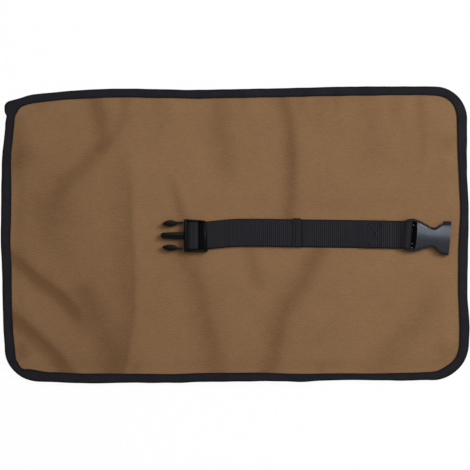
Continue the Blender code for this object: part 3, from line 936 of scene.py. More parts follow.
@dataclass
class Outline:
    """The edge of the bound panel: a rectangle with rounded corners that wanders a little."""

    half_length: float = 250 * MM
    half_width: float = 157 * MM
    outer_radii: tuple = mm(35, 39.5, 34.5, 6.5)
    inner_radii: tuple = mm(13, 30, 24, 8)
    tape_width: float = 10.2 * MM
    edge_steps: tuple = (170, 140)
    corner_steps: int = 18
    side_zone: tuple = (0.225, 0.235)
    rim_zone: tuple = (0.13, 0.14)
    tab_zone: tuple = (0.22, 0.24)
    # Each, in millimetres: place along the side, and how far the edge lies off the plain shape there.
    left: tuple = mm(
        (-157, 4.5), (-127, 3), (-101, 1.5), (-69, 0.5), (-31, -0.3), (3, -1.6), (37, -1.2),
        (71, -0.9), (92, -0.3), (102, 0.3), (109, 1.2), (115, 1.8), (121.5, 2.5), (128, 3.2),
        (135, 3.6), (141, 4.5), (157, 4.9),
    )
    right: tuple = mm(
        (-157, -0.4), (-128, 0), (-101, 0.9), (-85, 0.2), (-69, -1.2), (-45, -1.2), (-26, -0.8),
        (0, -0.3), (27, -0.1), (59, -1.5), (92, -2), (124, -1.7), (157, -2.2),
    )
    top: tuple = mm(
        (-250, -14.5), (-244, -12.8), (-234, -9.6), (-226, -6.8), (-214, -5), (-203, -4),
        (-183, -2.1), (-166, -1), (-145, 0.1), (-113, 0.4), (-70, -0.5), (-38, -0.8), (16, 0.3),
        (69, 1.4), (123, 2.7), (176, 2.8), (250, 2.6),
    )
    bottom: tuple = mm(
        (-250, 0.4), (-220, 0.3), (-199, -0.1), (-166, -1.6), (-113, -0.9), (-70, -1.1), (-38, 0),
        (-6, 0.1), (26, 0.8), (50, 0.4), (69, 0), (90, 1.2), (123, 2), (176, 1.3), (208, 1.9),
        (250, 1.4),
    )
    tab: tuple = mm((128.5, 0), (131.2, -1.8), (134.4, -2.4), (137.6, -2.6), (141, -3.2))
    inner_left: tuple = mm(
        (-157, 2), (-134, 2), (-117, 1.2), (-100, 0.4), (-37, 0.2), (-5, 0.7), (60, 0.9), (90, 0.1),
        (110, 0), (122, 0.3), (128, 0.6), (131, 1.4), (140, 1),
    )
    inner_right: tuple = mm(
        (-128, -0.1), (-117, -0.6), (-101, -1.1), (-69, -0.2), (-26, -0.7), (0, -0.2), (27, 0.8),
        (59, 0.6), (92, -0.4), (124, -1.1), (140, -1),
    )
    inner_top: tuple = mm(
        (-226, -0.2), (-205, 0.5), (-183, 0.9), (-166, 0.5), (-38, 0.6), (70, 0.4), (122, 0.1),
        (180, 0.8), (200, 0.7), (220, 0),
    )
    inner_bottom: tuple = mm(
        (-232, 3.6), (-220, 3.4), (-208, 1.8), (-199, 0.8), (-166, 1), (-113, -0.4), (-38, -0.2),
        (-6, 0), (26, -0.9), (69, -1.3), (90, -2.2), (123, -2.7), (176, -1.6), (208, -1),
        (224, 0.8),
    )

    def wander(self, x: float, y: float) -> Point:
        """Moves a point of the plain shape to where the hand sewn edge has it.

        Args:
            x: the point, from left to right.
            y: the point, from bottom to top.

        Returns:
            The point's own place.
        """
        across = (x / self.half_length + 1) / 2
        up = (y / self.half_width + 1) / 2
        left, right = table_value(self.left, y), table_value(self.right, y)
        low, high = table_value(self.bottom, x), table_value(self.top, x)
        return x + left + (right - left) * across, y + low + (high - low) * up

    def loop(self, inset: float, radii: Sequence[float]) -> list[Point]:
        """Draws the edge, or a line inside it, as one closed line of evenly numbered points.

        Args:
            inset: how far inside the edge it runs.
            radii: corner radii from the lower left corner on, anticlockwise.

        Returns:
            The points, from the lower left corner's end on, anticlockwise.
        """
        length, width = self.half_length - inset, self.half_width - inset
        corners = ((-1, -1), (1, -1), (1, 1), (-1, 1))
        points: list[Point] = []
        for number, (sx, sy) in enumerate(corners):
            after = (number + 1) % 4
            radius, following = radii[number], radii[after]
            centre = Vector((sx * (length - radius), sy * (width - radius)))
            angles = [90 * (2 + number + n / self.corner_steps) for n in range(self.corner_steps + 1)]
            spokes = [Vector((math.cos(a), math.sin(a))) for a in map(math.radians, angles)]
            points += [tuple(centre + radius * spoke) for spoke in spokes[:-1]]
            nx, ny = corners[after]
            finish = Vector((nx * (length - following), ny * (width - following)))
            finish += following * spokes[-1]
            start = centre + radius * spokes[-1]
            steps = self.edge_steps[number % 2]
            points += [tuple(start.lerp(finish, n / steps)) for n in range(steps)]
        line = [self.wander(x, y) for x, y in points]
        return [self.inner_place(x, y) if inset > 0 else self.outer_place(x, y) for x, y in line]

    def outer_place(self, x: float, y: float) -> Point:
        """A point of the outer edge, with the tape's end that stands out at the upper left."""
        return x + table_value(self.tab, y) * ease(-x, *self.tab_zone), y

    def inner_place(self, x: float, y: float) -> Point:
        """Moves a point of the tape's inner edge, which runs freely of the outer one.

        Args:
            x: the point, from left to right.
            y: the point, from bottom to top.

        Returns:
            The point's own place.
        """
        across = table_value(self.inner_left, y) * ease(-x, *self.side_zone)
        across += table_value(self.inner_right, y) * ease(x, *self.side_zone)
        up = table_value(self.inner_bottom, x) * ease(-y, *self.rim_zone)
        up += table_value(self.inner_top, x) * ease(y, *self.rim_zone)
        return x + across, y + up

    def spread(self, first: float, second: float, inset: float) -> Point:
        """Places a share of a plain grid inside the edge.

        Args:
            first: share from left to right.
            second: share from bottom to top.
            inset: how far inside the edge the grid ends.

        Returns:
            The place.
        """
        length, width = self.half_length - inset, self.half_width - inset
        y = (2 * second - 1) * width
        low_left, low_right, high_right, high_left = self.outer_radii
        left = -length + self._corner(y, width, low_left, high_left)
        right = length - self._corner(y, width, low_right, high_right)
        return self.wander(left + (right - left) * first, y)

    @staticmethod
    def _corner(y: float, width: float, low: float, high: float) -> float:
        """Measures how far a row ends before the side, where the corners are rounded.

        Args:
            y: the row's height.
            width: half the shape's width.
            low: the radius of the lower corner.
            high: the radius of the upper corner.

        Returns:
            The distance.
        """
        radius = low if y < 0 else high
        over = abs(y) - (width - radius)
        if over <= 0:
            return 0.0
        return radius - math.sqrt(max(0.0, radius**2 - over**2))


@dataclass
class Crease:
    """A soft valley in the cloth along a line, where shade is painted darker than on the cloth beside
    it.

    The points, the widths on both sides and the depth are given in millimetres. The painted shade is
    how much darker the cloth is painted on the line, lighter where it is negative, and the ends say
    over which share of the line it fades in and out.
    """

    points: Sequence[Point]
    width: float
    depth: float
    wear: float
    right_width: float | None = None
    ends: tuple = (0.0, 0.0)
    overlap: float = 2.4

    def __post_init__(self) -> None:
        """Turns the sizes to metres and notes how far the crease reaches."""
        self.points = mm(*self.points)
        self.width *= MM
        self.depth *= MM
        self.right_width = self.width if self.right_width is None else self.right_width * MM
        reach = self.overlap * max(self.width, self.right_width)
        self.low = [min(point[axis] for point in self.points) - reach for axis in (0, 1)]
        self.high = [max(point[axis] for point in self.points) + reach for axis in (0, 1)]

    def share(self, x: float, y: float) -> float:
        """Measures how strongly a place is creased.

        Args:
            x: the place, from left to right.
            y: the place, from bottom to top.

        Returns:
            The strength, 1 on the line and 0 far from it.
        """
        if not (self.low[0] < x < self.high[0] and self.low[1] < y < self.high[1]):
            return 0.0
        best, width, run = 1.0, self.width, 0.0
        total = len(self.points) - 1
        for number, ((ax, ay), (bx, by)) in enumerate(zip(self.points, self.points[1:])):
            dx, dy = bx - ax, by - ay
            t = ((x - ax) * dx + (y - ay) * dy) / (dx * dx + dy * dy)
            t = min(1.0, max(0.0, t))
            distance = math.hypot(x - ax - dx * t, y - ay - dy * t)
            if distance < best:
                best = distance
                run = (number + t) / total
                on_left = dx * (y - ay) - dy * (x - ax) > 0
                width = self.width if on_left else self.right_width
        start, end = self.ends
        fade = ease(run, -0.01, start) if start else 1.0
        fade *= ease(1 - run, -0.01, end) if end else 1.0
        return fade * math.exp(-((best / width) ** 2))


CREASES = (
    Crease(((-151, 152), (-145, 120), (-144, 99), (-163, 73), (-184, 56), (-202, 27), (-199, 6),
        (-191, -19)), 10, 1.2, 0.62, ends=(0, 0.75)),
    Crease(((-163, 73), (-184, 52), (-199, 24), (-198, 2), (-188, -28)), 27, 0.7, 0.26,
        ends=(0.45, 0.4)),
    Crease(((-117, 152), (-121, 124), (-132, 104), (-144, 92)), 6.5, 0.9, 0.3),
    Crease(((-120, 110), (-118, 88), (-115, 49), (-114, 13), (-112, -19), (-111, -48), (-111, -83),
        (-114, -105), (-122, -150)), 4.2, 1, 0.5, 19, ends=(0.36, 0)),
    Crease(((-248, -16), (-213, -48), (-191, -64), (-175, -82), (-162, -102)), 7, 1.6, 1,
        ends=(0, 0.3)),
    Crease(((-248, -80), (-215, -109), (-197, -126), (-176, -152)), 8, 1.5, 1.05),
    Crease(((-170, -44), (-160, -69), (-150, -90), (-140, -115), (-131, -150)), 14, 0.9, 0.46,
        ends=(0.2, 0)),
    Crease(((-232, -112), (-225, -135)), 9, 0.6, 0.4, ends=(0.4, 0.2)),
    Crease(((-72, 74), (-65, 45), (-55, 16)), 5.5, 0.8, 0.5, ends=(0.6, 0)),
    Crease(((-58, -12), (-51, -30), (-39, -62), (-32, -98), (-18, -150)), 13, 1, 0.5),
    Crease(((-19, 152), (-18, 113), (-12, 84), (-11, 44)), 13, 0.9, 0.42, ends=(0, 0.35)),
    Crease(((50, 152), (57, 113), (59, 74), (57, 16)), 8, 1.2, 0.66),
    Crease(((14, -12), (23, -48), (30, -68)), 9, 0.8, 0.36, ends=(0, 0.5)),
    Crease(((90, -14), (71, -51), (53, -76), (45, -101), (36, -150)), 11, 1.2, 0.6, 13),
    Crease(((222, -45), (212, -72), (192, -98), (173, -115), (150, -148)), 13, 0.7, 0.34,
        ends=(0.4, 0)),
    Crease(((198, 150), (200, 95), (196, 59)), 6, 0.6, 0.26, ends=(0, 0.4)),
    Crease(((92, 150), (87, 102)), 8, 0.5, 0.2, ends=(0, 0.6)),
    Crease(((136, 150), (145, 95), (140, 56)), 13, 0.5, 0.18, ends=(0, 0.5)),
    Crease(((-84, 150), (-77, 122), (-92, 98)), 9, 0.5, 0.2, ends=(0, 0.5)),
    Crease(((230, 112), (226, 84)), 9, 0.6, 0.34, ends=(0.4, 0.4)),
    Crease(((208, -112), (240, -132)), 10, 0.6, 0.34, ends=(0.5, 0)),
    Crease(((-250, 66), (-232, 82), (-206, 96)), 13, 0.8, 0.42, ends=(0, 0.5)),
    Crease(((-238, 132), (-236, 60)), 9, 0.5, 0.34, ends=(0.1, 0.4)),
    # These two paint broad shade and light with no valley: darker towards the left, lighter in the
    # middle.
    Crease(((-210, 40), (-180, -40), (-155, -120)), 46, 0, 0.2),
    Crease(((-45, 100), (-25, 40), (5, 25)), 56, 0, -0.15),
    Crease(((9, 150), (11, 126)), 6, 0.4, 0.26, ends=(0, 0.6)),
    Crease(((71, 150), (69, 127)), 7, 0.4, 0.28, ends=(0, 0.6)),
    Crease(((109, 150), (107, 124)), 6, 0.4, 0.26, ends=(0, 0.6)),
    Crease(((173, 150), (170, 120)), 7, 0.4, 0.24, ends=(0, 0.6)),
    Crease(((-107, -150), (-105, -130)), 6, 0.4, 0.3, ends=(0, 0.6)),
    Crease(((91, -150), (93, -128)), 6, 0.4, 0.26, ends=(0, 0.6)),
    Crease(((-204, 146), (-212, 126)), 8, 0.4, 0.3, ends=(0, 0.6)),
)


@dataclass
class Panel:
    """The layered cloth of the roll: outer canvas, lining, edge tape and pockets."""

    outline: Outline
    finishes: Finishes
    pitch: float = 50 * MM
    strips: int = 9
    canvas: Point = mm(7.4, 8.4)
    lining: Point = mm(6.3, 7.1)
    tape_low: float = 5.2 * MM
    tape_high: float = 9.5 * MM
    tape_cloth: float = 0.8 * MM
    cloth_inset: float = 1.6 * MM
    swell: float = 1.5 * MM
    swell_range: Point = (0.95, 0.35)
    swell_wave: Triple = (11, 9, 1.7)
    swell_fine: float = 0.10
    fine_wave: Triple = (38, 34, 6.1)
    fullness: float = 1.15
    bend_reach: float = 10 * MM
    seam_level: float = 6.3 * MM
    end_allowance: float = 24 * MM
    end_tape: float = 290 * MM
    strap_room: tuple = (-0.084, 0.236, -0.020, 0.023)
    strap_slope: Point = mm(0.5, 26)
    edge_slope: Point = mm(12, 27)
    worn_corner: Point = (-0.19, 0.10)
    # Each: share of the tape's width from its outer edge, and millimetres above its upper level.
    tape_top: tuple = (
        (1.0, -0.25), (0.985, -0.05), (0.95, 0.0), (0.72, 0.05), (0.48, 0.08), (0.30, 0.02),
    )
    tape_fold: float = 0.34
    tape_bulge: float = 0.35
    tape_wave: float = 0.055
    tape_wobble: float = 0.45 * MM
    tape_pucker: float = 0.16 * MM
    tape_lift: float = 0.08 * MM
    tape_push: float = 0.1 * MM
    tape_waves: Triple = (38, 120, 55)
    lift_span: Point = (0.1, 0.6)
    stitch_lift: float = 0.16 * MM
    stitch_inset: float = 1.9 * MM
    grid: tuple = (230, 140)

    def seam(self, number: int) -> float:
        """Places a seam across the panel."""
        return (number - self.strips / 2) * self.pitch

    def cuts(self) -> list[float]:
        """Lists the middles of the inner strips, where the cloth is cut."""
        return [self.seam(number) + self.pitch / 2 for number in range(1, self.strips - 1)]

    def free(self, x: float, y: float) -> float:
        """Measures how freely the canvas may rise.

        Args:
            x: the place, from left to right.
            y: the place, from bottom to top.

        Returns:
            The share, 0 under the tape and the strap and 1 in the open.
        """
        side = min(self.outline.half_length - abs(x), self.outline.half_width - abs(y))
        if x < self.worn_corner[0] and y > self.worn_corner[1]:
            side = min(side, self.outline.half_width + table_value(self.outline.top, x) - y)
        room = ease(side, *self.edge_slope)
        left, right, low, high = self.strap_room
        away = math.hypot(max(left - x, 0, x - right), max(low - y, 0, y - high))
        return room * ease(away, *self.strap_slope)

    def rise(self, x: float, y: float) -> tuple[float, float]:
        """Measures the canvas's rise above its flat level, and how much shade is painted on it there.

        Args:
            x: the place, from left to right.
            y: the place, from bottom to top.

        Returns:
            The rise, and the painted shade as a share.
        """
        wide = self.swell_range[0] + self.swell_range[1] * ripple(x, y, self.swell_wave)
        fine = self.swell_fine * ripple(x, y, self.fine_wave)
        dip = wear = 0.0
        for crease in CREASES:
            share = crease.share(x, y)
            dip += share * crease.depth
            wear += share * crease.wear
        rise = self.swell * (wide + fine)
        rise = rise * (1 - math.exp(-max(0.0, rise - dip) / (0.5 * rise))) * self.fullness
        return rise * self.free(x, y), min(1.0, wear)

    def shell(self, low: float, high: float, swelling: bool) -> BMesh:
        """Makes one layer of cloth over the whole panel.

        Args:
            low: its underside's height.
            high: its top's height.
            swelling: whether it rises and creases as the outer canvas does.

        Returns:
            The closed layer.
        """
        outline, inset = self.outline, self.cloth_inset

        def place(first: float, second: float) -> Triple:
            """A point of the layer's flat top."""
            return *outline.spread(first, second, inset), high

        bm = mapped_grid(*self.grid, place, lambda a, b: outline.spread(a, b, inset))
        # The crease layer keeps the shade painted on the canvas's creases.
        crease = bm.verts.layers.float.new("crease")
        if swelling:
            for vert in bm.verts:
                rise, vert[crease] = self.rise(vert.co.x, vert.co.y)
                vert.co.z += rise
        thicken(bm, bm.faces[:], low - high)
        return bm

    def lengths(self, whole: BMesh) -> Iterator[tuple[int, BMesh]]:
        """Cuts a layer into its eight lengths, one for each seam.

        Args:
            whole: the layer, which is freed.

        Yields:
            The number of each length and its mesh.
        """
        keep_normals(whole)
        edges = [None, *self.cuts(), None]
        for number in range(1, self.strips):
            yield number, cut_out(whole, edges[number - 1], edges[number])
        whole.free()

    def hinge(self, obj: Object, number: int) -> None:
        """Bakes a length of cloth's place into its mesh; its span round the seam goes unused.

        Args:
            obj: the length.
            number: its seam.
        """
        x, strips = self.seam(number), (f"strip_{number}", f"strip_{number + 1}")
        start, end = ((x + side * self.bend_reach, 0, self.seam_level) for side in (-1, 1))
        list(strips)
        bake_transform(obj)
        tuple(start)
        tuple(end)

    def nodes(self, stem: str, number: int) -> list[str]:
        """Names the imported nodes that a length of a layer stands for."""
        last = [f"{stem}_{self.strips}"] if number == self.strips - 1 else []
        return [f"{stem}_{number}", *last]

    def flat_length(self, number: int) -> float:
        """Measures one length of cloth along the roll."""
        end = number in (1, self.strips - 1)
        return 1.5 * self.pitch + self.end_allowance if end else self.pitch

    def make_layer(self, name: str, stem: str, slot: Slot, material: Material, heights: Point) -> None:
        """Makes the outer canvas or the lining in its eight lengths.

        Args:
            name: what its lengths are called.
            stem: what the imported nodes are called.
            slot: its slot.
            material: its cloth.
            heights: the heights of its underside and its top.
        """
        outer = slot is Slot.CANVAS
        for number, bm in self.lengths(self.shell(*heights, outer)):
            obj = to_object(f"{name}_{number}", bm, material, slot, recalculate=False)
            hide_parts(*self.nodes(stem, number))
            flat = (self.flat_length(number), 2 * (self.outline.half_width - self.cloth_inset))
            rests = [f"inner_{number}"] if outer else [f"pouch_{number}", f"pouch_{number + 1}"]
            self.hinge(obj, number)

    def tape_section(self) -> list[Point]:
        """Draws the tape's folded section.

        Returns:
            Its points: share of the tape's width from the outer edge, and height.
        """
        low, high, cloth = self.tape_low, self.tape_high, self.tape_cloth
        width = self.outline.tape_width
        radius = (high - low) / 2
        points = [(share, high + rise * MM) for share, rise in self.tape_top]
        for n in range(9):
            angle = math.radians(90 + 22.5 * n)
            flat = radius * (1 + self.tape_bulge * abs(math.cos(angle)))
            out = min(radius + radius * math.cos(angle), flat)
            points.append((out / width, low + radius * (1 + math.sin(angle))))
        points += [(0.48, low), (0.95, low), (1.0, low + cloth / 2), (0.95, low + cloth)]
        inner = radius - cloth
        points.append((self.tape_fold, low + cloth))
        for n in range(5):
            angle = math.radians(270 - 45 * n)
            out = cloth + inner * (1 - abs(math.cos(angle)))
            points.append((out / width, low + cloth + inner * (1 + math.sin(angle))))
        points += [(self.tape_fold, high - cloth), (0.7, high - cloth), (0.97, high - cloth)]
        return points

    def make_tape(self) -> None:
        """Makes the edge tape, folded over the panel's edge all round."""
        outline = self.outline
        outer = outline.loop(0.0, outline.outer_radii)
        inner = outline.loop(outline.tape_width, outline.inner_radii)
        section = self.tape_section()
        count, around = len(outer), len(section)
        lengths = run_lengths(outer + outer[:1])
        closed = [(share * outline.tape_width, height) for share, height in section + section[:1]]
        steps = run_lengths(closed)

        def place(first: float, second: float) -> Triple:
            """A point of the tape."""
            number = round(first * count)
            share, height = section[round(second * around) % around]
            o, i = Vector(outer[number % count]), Vector(inner[number % count])
            reach = lengths[number % count]
            wide, fine, edge = self.tape_waves
            wave = ripple(reach, 0.3, (wide, 1, 0))
            pucker = ripple(reach, 4.3, (fine, 1, share * 2))
            upper = ease(height, self.tape_low + MM, self.tape_high)
            width = share * (1 + self.tape_wave * wave * share)
            wobble = self.tape_wobble * ripple(reach, 9.1, (edge, 1, 0)) * (1 - share)
            shift = wobble + self.tape_push * (1 - share)
            point = o.lerp(i, width) + (i - o).normalized() * shift
            lift = upper * (self.tape_pucker * pucker + self.tape_lift) * ease(share, *self.lift_span)
            return point.x, point.y, height + lift

        def chart(first: float, second: float) -> Point:
            """The cloth map of the tape, along and across."""
            return lengths[round(first * count)], steps[round(second * around)]

        bm = mapped_grid(count, around, place, chart)
        flat_width = 2 * outline.tape_width + (self.tape_high - self.tape_low)
        for number, part in self.lengths(bm):
            obj = to_object(f"tape_{number}", part, self.finishes.tape, Slot.TAPE, recalculate=False)
            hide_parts(*self.tape_nodes(number))
            end = self.end_tape if number in (1, self.strips - 1) else 0.0
            flat = (flat_width, 2 * self.flat_length(number) + end)
            self.hinge(obj, number)
        LOG.info("tape: %.3f m round the edge", lengths[-1])

    def sew_tape(self) -> None:
        """Sews the row of stitches near the tape's inner edge, all round."""
        outline = self.outline
        radii = [radius + 2 * MM for radius in outline.inner_radii]
        line = outline.loop(outline.tape_width - self.stitch_inset, radii)
        level = self.tape_high + self.stitch_lift
        cuts = [-1.0, *self.cuts(), 1.0]
        rows = [
            Stitching(pitch=3.4 * MM, length=2.5 * MM, width=0.6 * MM, height=0.42 * MM)
            for _ in range(self.strips - 1)
        ]
        for a, b in zip(line, line[1:] + line[:1]):
            number = sum(a[0] >= cut for cut in cuts) - 1
            rows[number].sew([(*a, level), (*b, level)])
        for number, row in enumerate(rows, 1):
            obj = row.finish(f"tape_stitches_{number}", self.finishes.thread)
            self.hinge(obj, number)

    def tape_nodes(self, number: int) -> list[str]:
        """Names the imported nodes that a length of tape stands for."""
        last = ["binding_right_end"] if number == self.strips - 1 else []
        both = [f"binding_top_{number}", f"binding_bottom_{number}", *last]
        return ["binding_left_end"] if number == 1 else both

    def make(self) -> None:
        """Makes the canvas, the lining, the tape and the nine pockets."""
        self.make_layer("canvas", "outer", Slot.CANVAS, self.finishes.canvas, self.canvas)
        self.make_layer("inner", "lining", Slot.LINING, self.finishes.lining, self.lining)
        self.make_tape()
        self.sew_tape()
        for number in range(1, self.strips + 1):
            Pocket(number, self.seam(number) - self.pitch / 2).make(self.finishes)


@dataclass
class Pocket:
    """One tool pocket: a slack piece of canvas sewn down on three sides, its mouth hemmed."""

    number: int
    middle: float
    half_width: float = 23.7 * MM
    low_end: float = -146.5 * MM
    mouth: float = 23.5 * MM
    top: float = 6 * MM
    cloth: float = 0.8 * MM
    margin: float = 3.2 * MM
    hem: float = 11 * MM
    side_slope: float = 11 * MM
    foot_slope: float = 24 * MM
    slack: Point = (0.86, 0.14)
    wave: Point = (30, 16)
    wave_step: float = 3.7
    fold: float = 0.8 * MM
    seam_gap: float = 1.5 * MM
    flat_width: float = 58 * MM
    seam_cloth: float = 4 * MM
    seam_inset: float = 1.6 * MM
    grid: tuple = (28, 100)

    def depth(self, side: float, up: float) -> float:
        """Measures how far the pocket hangs below its seams.

        Args:
            side: distance from its middle.
            up: distance from its lower end.

        Returns:
            The depth, 0 at the seams.
        """
        half = self.half_width - self.margin
        across = ease(half - abs(side), 0, self.side_slope)
        foot = ease(up - self.margin, 0, self.foot_slope)
        least, more = self.slack
        slack = least + more * ripple(side, up, (*self.wave, self.number * self.wave_step))
        start = self.mouth - self.low_end - self.hem
        hemmed = ease(up, start - self.fold, start + self.fold)
        return (self.top - self.cloth) * across * foot * slack * (least + more * hemmed)

    def make(self, finishes: Finishes) -> None:
        """Makes the pocket and hides its solid.

        Args:
            finishes: the materials.
        """
        length = self.mouth - self.low_end

        def place(first: float, second: float) -> Triple:
            """A point of the pocket's inner face."""
            side = (2 * first - 1) * self.half_width
            up = second * length
            return self.middle + side, self.low_end + up, self.top - self.depth(side, up)

        def chart(first: float, second: float) -> Point:
            """The cloth map of the pocket."""
            return self.middle + first * self.flat_width, self.low_end + second * length

        bm = mapped_grid(*self.grid, place, chart)
        bm.verts.layers.float.new("crease")
        thicken(bm, bm.faces[:], -self.cloth)
        obj = to_object(f"pouch_{self.number}", bm, finishes.pocket, Slot.POCKET)
        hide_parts(f"pocket_{self.number}")
        flat = (2 * self.half_width + self.seam_cloth, length)
        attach(obj, f"strip_{self.number}")
        self.sew(finishes, length)

    def sew(self, finishes: Finishes, length: float) -> None:
        """Stitches the pocket down on three sides and along its hem.

        Args:
            finishes: the materials.
            length: how long the pocket is.
        """
        inset, gap = self.seam_inset, self.seam_gap
        edge = self.half_width - inset
        rows = [
            [(-edge, gap), (-edge, length - gap)],
            [(edge, gap), (edge, length - gap)],
            [(-edge, inset), (edge, inset)],
            [(edge * (n / 12 - 1), length - self.hem + inset) for n in range(25)],
        ]
        sewing = Stitching(pitch=3.4 * MM, length=2.5 * MM, width=0.6 * MM, height=0.4 * MM)
        for row in rows:
            line = []
            for side, up in row:
                height = self.top - self.cloth - self.depth(side, up)
                line.append((self.middle + side, self.low_end + up, height))
            sewing.sew(line)
        obj = sewing.finish(f"pouch_stitches_{self.number}", finishes.brown_thread)
        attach(obj, f"strip_{self.number}")


# Webbing


@dataclass
class Webbing:
    """The strap: the sewn patch, the long run through the plug, its tail, and the socket's loop."""

    finishes: Finishes
    width: float = 29.8 * MM
    cloth: float = 1.5 * MM
    middle: float = 0.8 * MM
    low: float = 9.45 * MM
    second: float = 11.25 * MM
    bends: tuple = mm(140.6, 123.981, 71.944, 19.906, -32.131)
    loop_bend: float = 176.317 * MM
    patch_end: float = 156.6 * MM
    patch_start: float = 141.2 * MM
    patch_middle: float = 150 * MM
    bar_x: float = 183.6 * MM
    bar_z: float = 13.2 * MM
    bar_turn: float = math.radians(-5)
    joins: tuple = mm(132.4, 98, 46, -6)
    climb: float = 15 * MM
    over_bar: tuple = mm((-51.5, 13.7), (-48.0, 15.35), (-43.6, 15.75), (-40.45, 15.45))
    turn_radius: float = 1.5 * MM
    hem: tuple = mm(60.2, 72.1)
    hem_height: Point = mm(0.9, 0.2)
    hem_bulge: Point = mm(13, 5)
    hem_slope: Point = mm(-1.2, 0.8)
    end_slope: Point = mm(-0.5, 0.4)
    end_round: float = 0.5 * MM
    # How far the furrow lies inside the hem's end, its width and its depth.
    furrow: Triple = mm(1, 0.75, 1.4)
    flare_width: float = 1.1 * MM
    flare_reach: float = 5 * MM
    flare_rise: Point = mm(-0.5, 2)
    flare_fall: Point = mm(-4, -1)
    tail_steps: Point = mm(1.5, 0.25)
    stitch_shift: float = 0.5 * MM
    stitch_sink: float = 0.05 * MM
    box_inset: Point = mm(0.5, 1.2)
    box_half: float = 11.8 * MM
    hem_rows: Point = mm(1.4, 4.2)
    # Where a row of the hem starts across the strap, and its length.
    hem_row: Point = mm(-12.5, 25.5)
    loop_radius: float = 3.25 * MM
    loop_root: float = 166 * MM
    loop_leave: float = math.radians(124)
    loop_rest: Point = mm(171, 0.1)
    loop_lift: float = 0.05 * MM
    loop_pull: Point = mm(3, 4.2)
    root_span: Point = mm(-1.5, 5)
    end_span: Point = mm(-5, 3)
    reach: float = 6 * MM
    # Each: distance from the webbing's edge, and share of half its thickness there.
    rim: tuple = ((0.55 * MM, 0.90), (0.18 * MM, 0.58))
    flat_steps: int = 12
    # Each, in millimetres: place along the strap, and how far it runs off its middle line there.
    drift: tuple = mm(
        (-48, -0.8), (-33, -0.8), (2, 2.1), (70, 1.5), (141, 0.6), (156, 0.4), (176, 0),
    )

    def section(self) -> list[Point]:
        """Draws the webbing's section.

        Returns:
            Its points: place across the width and share of half the thickness.
        """
        half, steps, flat_rim = self.width / 2, self.flat_steps, MM
        upper_rim = [(half - inset, share) for inset, share in self.rim]
        rim = [*upper_rim, (half, 0.0), *((y, -share) for y, share in reversed(upper_rim))]
        flat = [-half + flat_rim + (self.width - 2 * flat_rim) * n / steps for n in range(steps + 1)]
        upper = [(y, 1.0) for y in flat]
        lower = [(y, -1.0) for y in reversed(flat)]
        return upper + rim + lower + [(-y, -share) for y, share in rim]

    def ribbon(
        self,
        path: Sequence[Point],
        start: float,
        shear: Callable[[float], float] | None = None,
        swell: Callable[[float, float], float] | None = None,
        flare: Callable[[float], float] | None = None,
    ) -> BMesh:
        """Makes a stretch of webbing along a line seen from its side.

        Args:
            path: the line's points, x and height, of the webbing's middle.
            start: how far along the webbing it starts, for the weave.
            shear: how much a point moves along x for each metre across, from its x.
            swell: how much the webbing is thicker at a place, from x and y.
            flare: how much its upper edge stands out, from x.

        Returns:
            The closed stretch.
        """
        section = self.section()
        count, around = len(path) - 1, len(section)
        points = [Vector(point) for point in path]
        sides = []
        for n, point in enumerate(points):
            back = point - points[max(0, n - 1)]
            ahead = points[min(count, n + 1)] - point
            way = (back.normalized() + ahead.normalized()).normalized()
            sides.append(Vector((-way.y, way.x)))
        reach = run_lengths(points, start)

        def place(first: float, second: float) -> Triple:
            """A point of the webbing."""
            n = round(first * count)
            y, share = section[round(second * around) % around]
            half = self.cloth / 2
            x = points[n].x
            if swell is not None and share > 0:
                half += swell(x, y) * share
            point = points[n] + sides[n] * (share * half)
            if flare is not None:
                y += flare(x) * ease(y, self.width / 2 - self.flare_reach, self.width / 2)
            y += self.middle + table_value(self.drift, x)
            shift = shear(x) * (y - self.middle) if shear is not None else 0.0
            return point.x + shift, y, point.y

        def chart(first: float, second: float) -> Point:
            """The cloth map of the webbing."""
            return reach[round(first * count)], section[round(second * around) % around][0]

        bm = mapped_grid(count, around, place, chart)
        close_ends(bm)
        return bm

    def piece(self, name: str, bm: BMesh, *nodes: str) -> Object:
        """Turns a stretch into a piece of the strap.

        Args:
            name: its name.
            bm: the stretch, which is freed.
            nodes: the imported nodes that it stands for.

        Returns:
            The piece.
        """
        obj = to_object(name, bm, self.finishes.webbing, Slot.WEBBING)
        if nodes:
            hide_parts(*nodes)
        return obj

    def straight(self, left: float, right: float, height: float, step: float = 2 * MM) -> list[Point]:
        """Draws a level line from right to left.

        Args:
            left: its left end.
            right: its right end.
            height: how high it lies.
            step: about how far its points are apart.

        Returns:
            The points.
        """
        count = max(2, round((right - left) / step))
        return [(right + (left - right) * n / count, height) for n in range(count + 1)]

    def run_height(self, x: float) -> float:
        """Measures the long run, which climbs on to the loop's layer where both are sewn down."""
        climb = ease(x, self.patch_start - self.climb, self.patch_start)
        return self.low + (self.second - self.low) * climb

    def make_run(self) -> None:
        """Makes the long run, in four lengths, each round one of the strap's hinges."""
        ends = (self.patch_middle, *self.joins)
        bodies = ("strip_8", "strap_1", "strap_2", "strap_3", "strap_4")
        replaced = (("strap_anchor", "strap_run_1"), ("strap_run_2",), (), ("strap_run_3",))
        for number, nodes in enumerate(replaced):
            right, left = ends[number], ends[number + 1]
            path = [(x, self.run_height(x)) for x, _ in self.straight(left, right, self.low)]
            obj = self.piece(f"strap_length_{number + 1}", self.ribbon(path, -right), *nodes)
            self.hinge(obj, bodies[number + 1], bodies[number], self.bends[number])

    def hinge(self, obj: Object, left: str, right: str, x: float) -> None:
        """Bakes a length of webbing's place into its mesh; its span round the bend goes unused.

        Args:
            obj: the length.
            left: not used.
            right: not used.
            x: where it bends.
        """
        start, end = (x - self.reach, 0, 0), (x + self.reach, 0, 0)
        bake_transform(obj)
        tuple(start)
        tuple(end)

